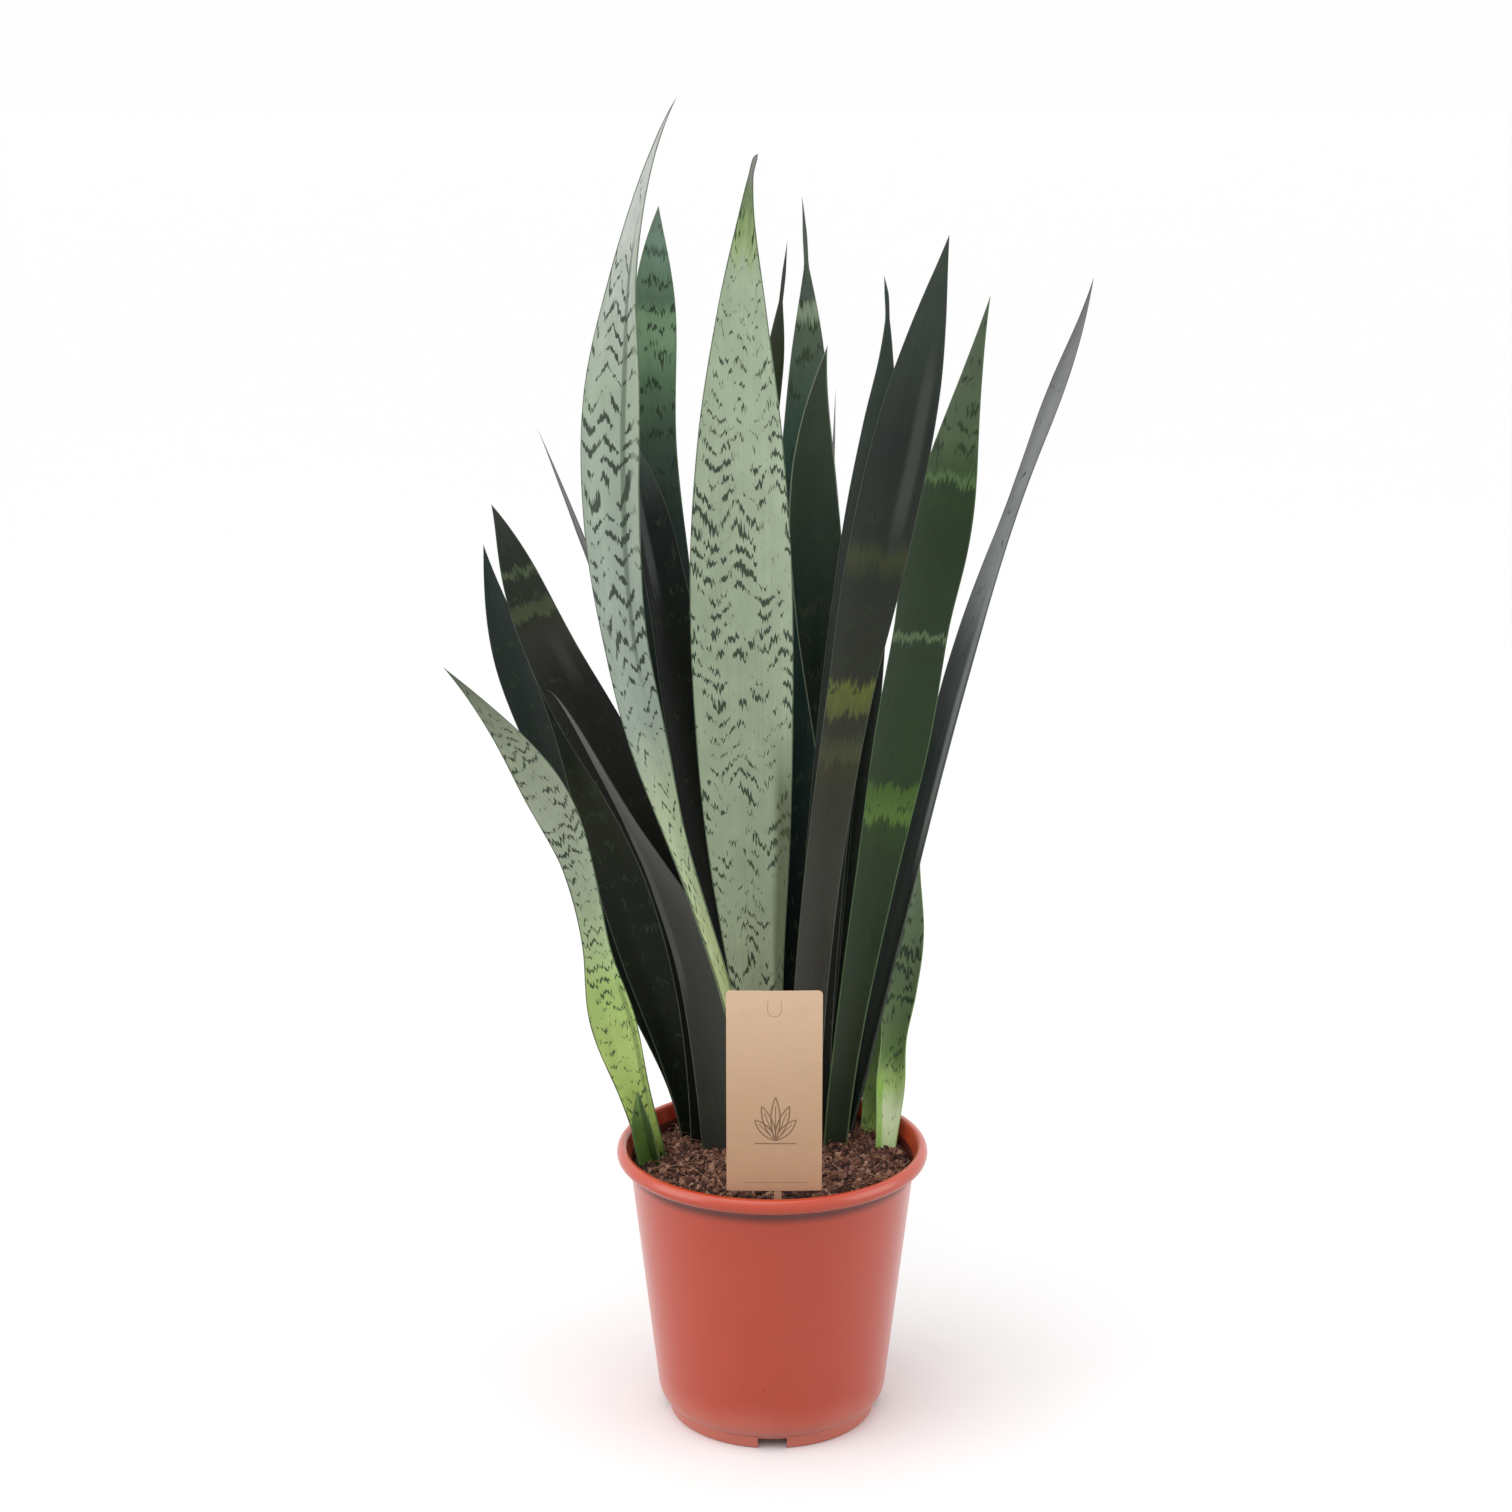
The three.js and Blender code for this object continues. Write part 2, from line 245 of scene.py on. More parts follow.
# ---------------------------------------------------------------- shared shader effects
def make_broken_bands():
    """Crosswise rows of fringed strokes that zigzag over the width of a leaf."""
    tree, have, exit_node = group(
        "broken_bands", "ShaderNodeTree",
        {
            "Along": ("float", 0.0), "Across": ("float", 0.0), "Side": ("float", 0.0),
            "Pitch": ("float", 0.011), "Zigzag": ("float", 0.005), "Folds": ("float", 2.2),
            "Fringe": ("float", 0.008), "Breaks": ("float", 1.6), "Cover": ("float", 0.4),
            "Seed": ("float", 0.0),
        },
        {"Mask": "float", "Drift": "float"},
    )
    along, across, seed = have["Along"], have["Across"], have["Seed"]
    hairs = cloud(triple(across * 1000, along * 70, seed), 1, 1) - 0.5
    sway = cloud(triple(across * 40, along * 24, seed + 3.1), 1, 1) - 0.5
    fold = 1 - 2 * calc("PINGPONG", (have["Side"] + 0.07 + sway * 0.35) * have["Folds"], 1.0)
    drift = fold * have["Zigzag"] + sway * 0.010 + hairs * have["Fringe"]
    uneven = cloud(triple(0.5, along * 30, seed + 7.7), 1, 1) * 1.5
    row = 1 - 2 * calc("PINGPONG", (along - drift) / have["Pitch"] + uneven, 0.5)
    presence = cloud(triple(across * 150, along * 48, seed + 11.3), 1, 2)
    gone, whole = 0.52 - have["Breaks"] * 0.1, 0.52 + have["Breaks"] * 0.06
    thick = have["Cover"] * ease(presence, gone, whole, 0.0, 1.3)
    nibble = (cloud(triple(across * 620, along * 170, seed + 5.9), 1, 1) - 0.5) * 0.7
    edge = 1.02 - thick
    return settle(tree, exit_node, Mask=ease(row + nibble, edge, edge + 0.2), Drift=drift)


def make_veins():
    """Fine lines that run the length of a leaf."""
    tree, have, exit_node = group(
        "vein_lines", "ShaderNodeTree",
        {
            "Along": ("float", 0.0), "Across": ("float", 0.0), "Spacing": ("float", 0.001),
            "Seed": ("float", 0.0),
        },
        {"Height": "float"},
    )
    lines = cloud(triple(have["Across"] / have["Spacing"], have["Along"] * 9, have["Seed"]), 1, 2)
    return settle(tree, exit_node, Height=lines)


def make_margin():
    """A narrow line just inside a leaf's edge, a little uneven in width."""
    tree, have, exit_node = group(
        "margin_line", "ShaderNodeTree",
        {"Edge": ("float", 0.0), "Along": ("float", 0.0), "Width": ("float", 0.0008)},
        {"Mask": "float"},
    )
    uneven = have["Width"] * (0.4 + 1.2 * cloud(triple(0.3, have["Along"] * 60, 0.7), 1, 1))
    return settle(tree, exit_node, Mask=1 - ease(have["Edge"] / uneven, 0.6, 1.4))


def make_tone_sheen_shade_strip():
    """A soft strip that runs along part of a leaf, at one share of its width; it draws strips of a leaf's
    own tone as well as painted sheen and a painted shadow.
    """
    tree, have, exit_node = group(
        "tone_sheen_shade_strip", "ShaderNodeTree",
        {
            "Side": ("float", 0.0), "Share": ("float", 0.0), "Centre": ("float", 0.0),
            "Width": ("float", 0.2), "Low": ("float", 0.3), "High": ("float", 0.8),
        },
        {"Mask": "float"},
    )
    sway = cloud(triple(0.4, have["Share"] * 5, have["Centre"] * 9), 1, 1) - 0.5
    off = calc("ABSOLUTE", have["Side"] - have["Centre"] - sway * 0.3) / have["Width"]
    inside = ease(have["Share"], have["Low"], have["Low"] + 0.08) * (
        1 - ease(have["Share"], have["High"] - 0.08, have["High"]))
    return settle(tree, exit_node, Mask=(1 - ease(off, 0.3, 1.0)) * inside)


def make_mottle():
    """Soft uneven patches and fine speckle, for colour, roughness and low relief."""
    tree, have, exit_node = group(
        "mottle", "ShaderNodeTree",
        {
            "Place": ("vector", (0.0, 0.0, 0.0)), "Patch": ("float", 0.02),
            "Grain": ("float", 0.001), "Seed": ("float", 0.0),
        },
        {"Patches": "float", "Speckle": "float"},
    )
    at = have["Place"] + triple(have["Seed"], have["Seed"] * 1.7, have["Seed"] * 0.3)
    return settle(
        tree, exit_node,
        Patches=cloud(at / triple(have["Patch"], have["Patch"], have["Patch"]), 1, 3),
        Speckle=cloud(at / triple(have["Grain"], have["Grain"], have["Grain"]), 1, 2),
    )


BROKEN_BANDS, VEINS = make_broken_bands(), make_veins()
MARGIN, TONE_SHEEN_SHADE_STRIP, MOTTLE = make_margin(), make_tone_sheen_shade_strip(), make_mottle()


def new_material(name, **constants):
    """An empty material with a Principled shader, whose plain values are set on its own sockets."""
    material = bpy.data.materials.new(name)
    material.use_nodes = True
    tree = material.node_tree
    tree.nodes.clear()
    shader = tree.nodes.new("ShaderNodeBsdfPrincipled")
    output = tree.nodes.new("ShaderNodeOutputMaterial")
    tree.links.new(shader.outputs[0], output.inputs["Surface"])
    for label, value in constants.items():
        shader.inputs[label.replace("_", " ")].default_value = value
    return material, tree, shader


def finish_material(tree, shader, color, roughness, height, depth, strength=1.0):
    """Links colour, roughness and a bump from a height field to the shader."""
    bump = put(tree, "ShaderNodeBump", {"Strength": strength, "Distance": depth, "Height": height})
    tree.links.new(color.socket, shader.inputs["Base Color"])
    tree.links.new(roughness.socket, shader.inputs["Roughness"])
    tree.links.new(bump.socket, shader.inputs["Normal"])


# ---------------------------------------------------------------- leaves
# Shape, in millimetres, and skin of each leaf.
# rib: control points of the midrib, from its end in the mix to the tip.
# wide: width of the strap at equal steps along it, closing to nothing at the tip.
# face: compass turn of its upper side in degrees, base and tip; 0 faces the front.
# cup: how far each half curls up in degrees, base and tip.
# awl: share of the length that is a thin point beyond the blade.
LEAVES = {
    "leaf_sheath_left": dict(
        slot="leaf_green", face=(0, 0), cup=(80, 50),
        rib=((-63, -2, 122), (-68, -5, 150), (-74, -8, 172), (-74, -9, 191)),
        wide=(13, 14, 15, 15, 13, 7)),
    "leaf_pale_left": dict(
        slot="leaf_pale", face=(10, -10), cup=(60, 25),
        rib=((-62, 10, 122), (-78, 1, 219.5), (-122, -14, 284), (-62, -36, 327), (-172, -36, 435.5)),
        wide=(15, 19.5, 28.5, 16.5, 18, 24.5)),
    "leaf_dark_outer_left": dict(
        slot="leaf_dark", face=(0, 0), cup=(50, 15),
        rib=((-41, 47, 122), (-52.5, 42, 218), (-139, 33, 371), (-155, 21, 490.5)),
        wide=(16, 15.5, 25, 21.5, 18, 20)),
    "leaf_dark_banded_left": dict(
        slot="leaf_dark", face=(0, 0), cup=(50, 15),
        rib=((-36, 27, 122), (-32.5, 15, 385.5), (-121, -13, 385), (-120, -56, 477), (-143, -56, 524)),
        wide=(22, 24.5, 28.5, 34, 29, 19.5)),
    "leaf_dark_broad_left": dict(
        slot="leaf_dark", face=(5, 0), cup=(50, 15),
        rib=((-43, 37, 122), (-27, 40, 165), (-97, 23, 337), (-139, -18, 462)),
        wide=(22, 24, 29, 33, 24, 6)),
    "leaf_grey_twisted_left": dict(
        slot="leaf_dark", face=(-10, -75), cup=(40, 10),
        rib=((-28, 13, 122), (-40, 4, 371), (-54, -9, 251), (-99, -44, 424), (-118, -44, 425)),
        wide=(19, 25, 28, 20, 11, 9)),
    "leaf_needle_left": dict(
        slot="leaf_dark", face=(-40, -78), cup=(40, 10),
        rib=((-35, 55, 122), (-27.5, 69, 301), (-97, 86, 463), (-132, 109, 542)),
        wide=(14, 15, 16, 15.5, 13, 12)),
    "leaf_pale_tall": dict(
        slot="leaf_pale", face=(30, 20), cup=(60, 40),
        rib=((-6, -2, 122), (-14, -25, 344.5), (-136, -36, 397), (-87, -40, 661), (-48, -40, 724.5)),
        wide=(14, 10, 9, 12.5, 24.5, 28.5, 35, 34, 16, 5)),
    "leaf_green_back_left": dict(
        slot="leaf_green", face=(0, 10), cup=(50, 15),
        rib=((-17, 46, 122), (-54.5, 53, 327.5), (-72, 70, 583.5), (-62, 90, 665)),
        wide=(18, 25, 29.5, 31.5, 22, 24)),
    "leaf_dark_mid_left": dict(
        slot="leaf_dark", face=(10, 30), cup=(50, 20),
        rib=((-6, 36, 122), (-27, 38, 310), (-63, 39, 491), (-76, 40, 546)),
        wide=(20, 29, 35, 35, 26, 20)),
    "leaf_pale_centre": dict(
        slot="leaf_pale", awl=0.038, face=(0, 0), cup=(50, 12),
        rib=((4, 22, 122), (-17, 20, 266), (-18, 18, 445.5), (-22, 15, 681), (-8, 15, 695)),
        wide=(16, 22, 34.5, 49.5, 57, 57, 46, 27, 9)),
    "leaf_narrow_back": dict(
        slot="leaf_dark", awl=0.06, face=(0, 30), cup=(40, 15),
        rib=((4, 62, 122), (-40, 79, 316), (-6, 101, 503.5), (8.5, 127, 644)),
        wide=(14, 15.5, 17, 18, 18.5, 18.5, 18, 17, 16, 14.5, 13, 11)),
    "leaf_teal_back": dict(
        slot="leaf_dark", awl=0.06, face=(0, 0), cup=(50, 15),
        rib=((7, 52, 122), (-11.5, 71, 295.5), (32, 96, 499.5), (16.5, 121, 669)),
        wide=(18, 21, 25, 31, 37, 39.5, 36.5, 28.5, 19)),
    "leaf_dark_mid_right": dict(
        slot="leaf_dark", face=(0, 0), cup=(50, 15),
        rib=((27, 59, 122), (84, 62, 284), (-2, 73, 451), (30.5, 91, 589.5)),
        wide=(18, 23.5, 27, 28.5, 31, 25.5)),
    "leaf_needle_back": dict(
        slot="leaf_dark", face=(60, 80), cup=(30, 10),
        rib=((17, 63, 122), (23, 76, 272), (32, 99, 452.5), (36, 125, 562)),
        wide=(10, 12, 13, 13, 13, 11)),
    "leaf_dark_back_right": dict(
        slot="leaf_dark", awl=0.07, face=(0, 20), cup=(50, 15),
        rib=((25, 32, 122), (15, 49, 359), (74, 67, 568), (61, 91, 627.5)),
        wide=(18, 21, 24, 25.5, 27.5, 29, 27.5, 20.5, 8.5)),
    "leaf_dark_tall_right": dict(
        slot="leaf_dark", face=(5, 15), cup=(50, 15),
        rib=((17, 9, 122), (14.5, -19, 334), (54, -64, 520), (82, -124, 662.5)),
        wide=(18, 20, 21.5, 25.5, 33.5, 28)),
    "leaf_green_right": dict(
        slot="leaf_green", face=(0, 15), cup=(50, 15),
        rib=((35, 22, 122), (34.5, 20, 238), (95, 11, 474), (61, -3, 403), (112, -3, 624.5)),
        wide=(14, 17, 24.5, 32.5, 31.5, 34.5)),
    "leaf_folded_far_right": dict(
        slot="leaf_dark", face=(-40, -40), cup=(70, 55),
        rib=((36, 49, 122), (70, 32, 233), (102, 41, 500.5), (154, 56, 533.5), (172, 56, 629.5)),
        wide=(15, 14.5, 19, 18.5, 10.5, 12.5)),
    "leaf_narrow_right": dict(
        slot="leaf_dark", face=(-30, -30), cup=(50, 20),
        rib=((32, 38, 122), (43.5, 42, 243), (47, 54, 325), (65.5, 68, 463.5)),
        wide=(14, 12, 10, 10, 11, 9)),
    "leaf_mottled_right": dict(
        slot="leaf_green", face=(5, 15), cup=(60, 25),
        rib=((61, 9, 122), (70, 40, 187), (65, 53, 210), (84, 66, 304)),
        wide=(11, 14, 18.5, 16.5, 22.5, 21)),
    "leaf_young_pale_right": dict(
        slot="leaf_lime", face=(-10, -10), cup=(70, 30),
        rib=((60, 24, 122), (68, 31, 160), (71, 55, 191.5), (81, 84, 246)),
        wide=(9, 8, 8, 10, 10.5, 8)),
    "leaf_young_green_right": dict(
        slot="leaf_lime", face=(-20, -20), cup=(60, 30),
        rib=((52, 35, 122), (58.5, 42, 150), (57, 59, 187), (65, 77, 224)),
        wide=(14, 13, 11, 12, 14, 14)),
}

LEAF_ROWS, LEAF_AROUND = 130, 28
BASE_T, BLADE_T = 3.4, 2.4  # a leaf's thickness at its base and over most of its length
AWL_W = 2.6  # width of the thin point


def between(pair, t):
    return pair[0] + (pair[1] - pair[0]) * t


def rib_at(points, t):
    """Place and direction on a midrib with any number of control points."""
    row = [Vector(p) for p in points]
    while len(row) > 2:
        row = [a.lerp(b, t) for a, b in zip(row, row[1:])]
    return row[0].lerp(row[1], t), (row[1] - row[0]).normalized()


def width_at(leaf, t):
    """Smooth curve through equally spaced widths, then the thin awl that some leaves end in."""
    wide, awl = leaf["wide"], leaf.get("awl", 0)
    w = [2 * wide[0] - wide[1], *wide, 0, -wide[-1]]
    point = AWL_W * min(1, (1 - t) / (0.7 * awl)) if awl else 0.0
    if t >= 1 - awl:
        return point
    x = min(t / (1 - awl), 0.999999) * len(wide)
    i = int(x)
    f = x - i
    a, b, c, d = w[i:i + 4]
    return max(point, b + 0.5 * f * (c - a + f * (2 * a - 5 * b + 4 * c - d + f * (3 * (b - c) + d - a))))


def thickness_at(t):
    u = min(t / 0.4, 1)
    return between((BASE_T, BLADE_T), u * u * (3 - 2 * u)) * (1 - 0.45 * t) * (1 - t ** 8)


def midrib(name, leaf):
    """A chain of points down the middle of a leaf, which carries how the strap is set there."""
    rows = dict(points=[], side=[], lift=[], half=[], bend=[], thick=[], reach=[], share=[])
    reach, last = 0.0, None
    for row in range(LEAF_ROWS + 1):
        t = row / LEAF_ROWS
        point, along = rib_at(leaf["rib"], t)
        reach += (point - last).length if last else 0.0
        last = point
        turn = math.radians(between(leaf["face"], t))
        side = Vector((math.cos(turn), math.sin(turn), 0))
        side = (side - side.dot(along) * along).normalized()
        shut = row in (0, LEAF_ROWS)
        values = dict(
            points=point * MM, side=side, lift=side.cross(along),
            half=width_at(leaf, t) / 2 * MM, bend=math.radians(between(leaf["cup"], t)),
            thick=thickness_at(t) * MM, reach=reach * MM, share=t)
        if row == 0:  # the end is closed by a row drawn in to one point
            for key, value in values.items():
                rows[key].append(0.0 if key in ("half", "thick") else value)
        for key, value in values.items():
            rows[key].append(0.0 if shut and row and key in ("half", "thick") else value)
    return bare_mesh(
        name + "_rib", rows["points"],
        side=("FLOAT_VECTOR", rows["side"]), lift=("FLOAT_VECTOR", rows["lift"]),
        half=("FLOAT", rows["half"]), bend=("FLOAT", rows["bend"]), thick=("FLOAT", rows["thick"]),
        reach=("FLOAT", rows["reach"]), share=("FLOAT", rows["share"]))


def named(tree, label, sort):
    return put(tree, "GeometryNodeInputNamedAttribute", {"Name": label}, "Attribute", data_type=sort)


def make_strap():
    """Sweeps a cupped, lens-shaped section along a midrib chain."""
    tree, have, exit_node = group(
        "strap_leaf", "GeometryNodeTree",
        {
            "Geometry": ("geometry", None), "Rows": ("int", 130), "Around": ("int", 28),
            "Ripple": ("float", 0.0004), "Ripple Length": ("float", 0.03), "Seed": ("float", 0.0),
            "Skin": ("material", None),
        },
        {"Geometry": "geometry"},
    )
    chain, around = have["Geometry"], have["Around"]
    grid = put(tree, "GeometryNodeMeshGrid", {"Vertices X": have["Rows"], "Vertices Y": around + 1}, "Mesh")
    index = put(tree, "GeometryNodeInputIndex")
    row = calc("FLOOR", (index + 0.5) / (around + 1))
    turn = (index - row * (around + 1)) / around * (2 * math.pi)

    def on_rib(label, sort):
        value = put(tree, "GeometryNodeInputPosition") if label == "position" else named(tree, label, sort)
        return put(tree, "GeometryNodeSampleIndex",
                   {"Geometry": chain, "Value": value, "Index": row}, "Value", data_type=sort)

    side, lift = on_rib("side", "FLOAT_VECTOR"), on_rib("lift", "FLOAT_VECTOR")
    half, bend, thick = on_rib("half", "FLOAT"), on_rib("bend", "FLOAT"), on_rib("thick", "FLOAT")
    reach, share = on_rib("reach", "FLOAT"), on_rib("share", "FLOAT")
    s = calc("COSINE", turn)
    angle = bend * s
    skin = calc("SINE", turn) * thick * 0.5
    wave = cloud(triple(s * 0.8, reach / have["Ripple Length"], have["Seed"]), 1, 1) - 0.5
    ripple = wave * have["Ripple"] * 2 * s * s * ease(half, 0.0, 0.004)
    out = half * calc("SINE", angle) / bend - calc("SINE", angle) * skin
    up = half * (1 - calc("COSINE", angle)) / bend + calc("COSINE", angle) * skin + ripple
    where = on_rib("position", "FLOAT_VECTOR") + side * out + lift * up
    strap = put(tree, "GeometryNodeSetPosition", {"Geometry": grid, "Position": where})
    edge = (1 - calc("ABSOLUTE", s)) * half
    for label, value in (
        ("leaf_place", triple(s * half, reach, edge)),
        ("leaf_share", triple(s, share, calc("SINE", turn))),
    ):
        strap = put(tree, "GeometryNodeStoreNamedAttribute",
                    {"Geometry": strap, "Name": label, "Value": value},
                    data_type="FLOAT_VECTOR", domain="POINT")
    strap = put(tree, "GeometryNodeMergeByDistance", {"Geometry": strap, "Distance": 0.000002})
    strap = put(tree, "GeometryNodeSetShadeSmooth", {"Geometry": strap})
    return finish_tree(tree, exit_node, strap, have["Skin"])


# How each leaf's skin is drawn. ground: (place, red, green, blue) from its base (0) to its tip (1).
# marks: how strongly the strokes show along it. stroke, margin: their colours.
# tone_sheen_shade_strips: (side, width, from, to, strength, colour) of soft strips along it, some of the
# leaf's own tone; those on leaf_grey_twisted_left, leaf_dark_mid_left, leaf_dark_tall_right and
# leaf_folded_far_right are painted sheen, and the one on leaf_pale_centre is a painted shadow.
FOLDS, STROKE_INK = 2.2, 0.9  # how often the strokes turn over a leaf's width, and how dark they are
PALE_STROKE, PALE_MARGIN = srgb(26, 42, 26), srgb(70, 88, 62)
DARK_STROKE, DARK_MARGIN = srgb(52, 64, 46), srgb(84, 92, 80)
PALE = dict(
    stroke=PALE_STROKE, margin=PALE_MARGIN, margin_width=0.0006, pitch=0.0115, zigzag=0.005,
    cover=0.46, breaks=1.5, fringe=0.008, roughness=0.44, specular=0.3)
DARK = dict(
    stroke=DARK_STROKE, margin=DARK_MARGIN, margin_width=0.0004, pitch=0.017, zigzag=0.002,
    cover=0.42, breaks=1.3, fringe=0.016, roughness=0.42, specular=0.16)
GREEN = dict(
    stroke=srgb(28, 44, 26), margin=srgb(96, 120, 84), margin_width=0.0005, pitch=0.014, zigzag=0.0015,
    cover=0.5, breaks=1.2, fringe=0.016, roughness=0.44, specular=0.2)
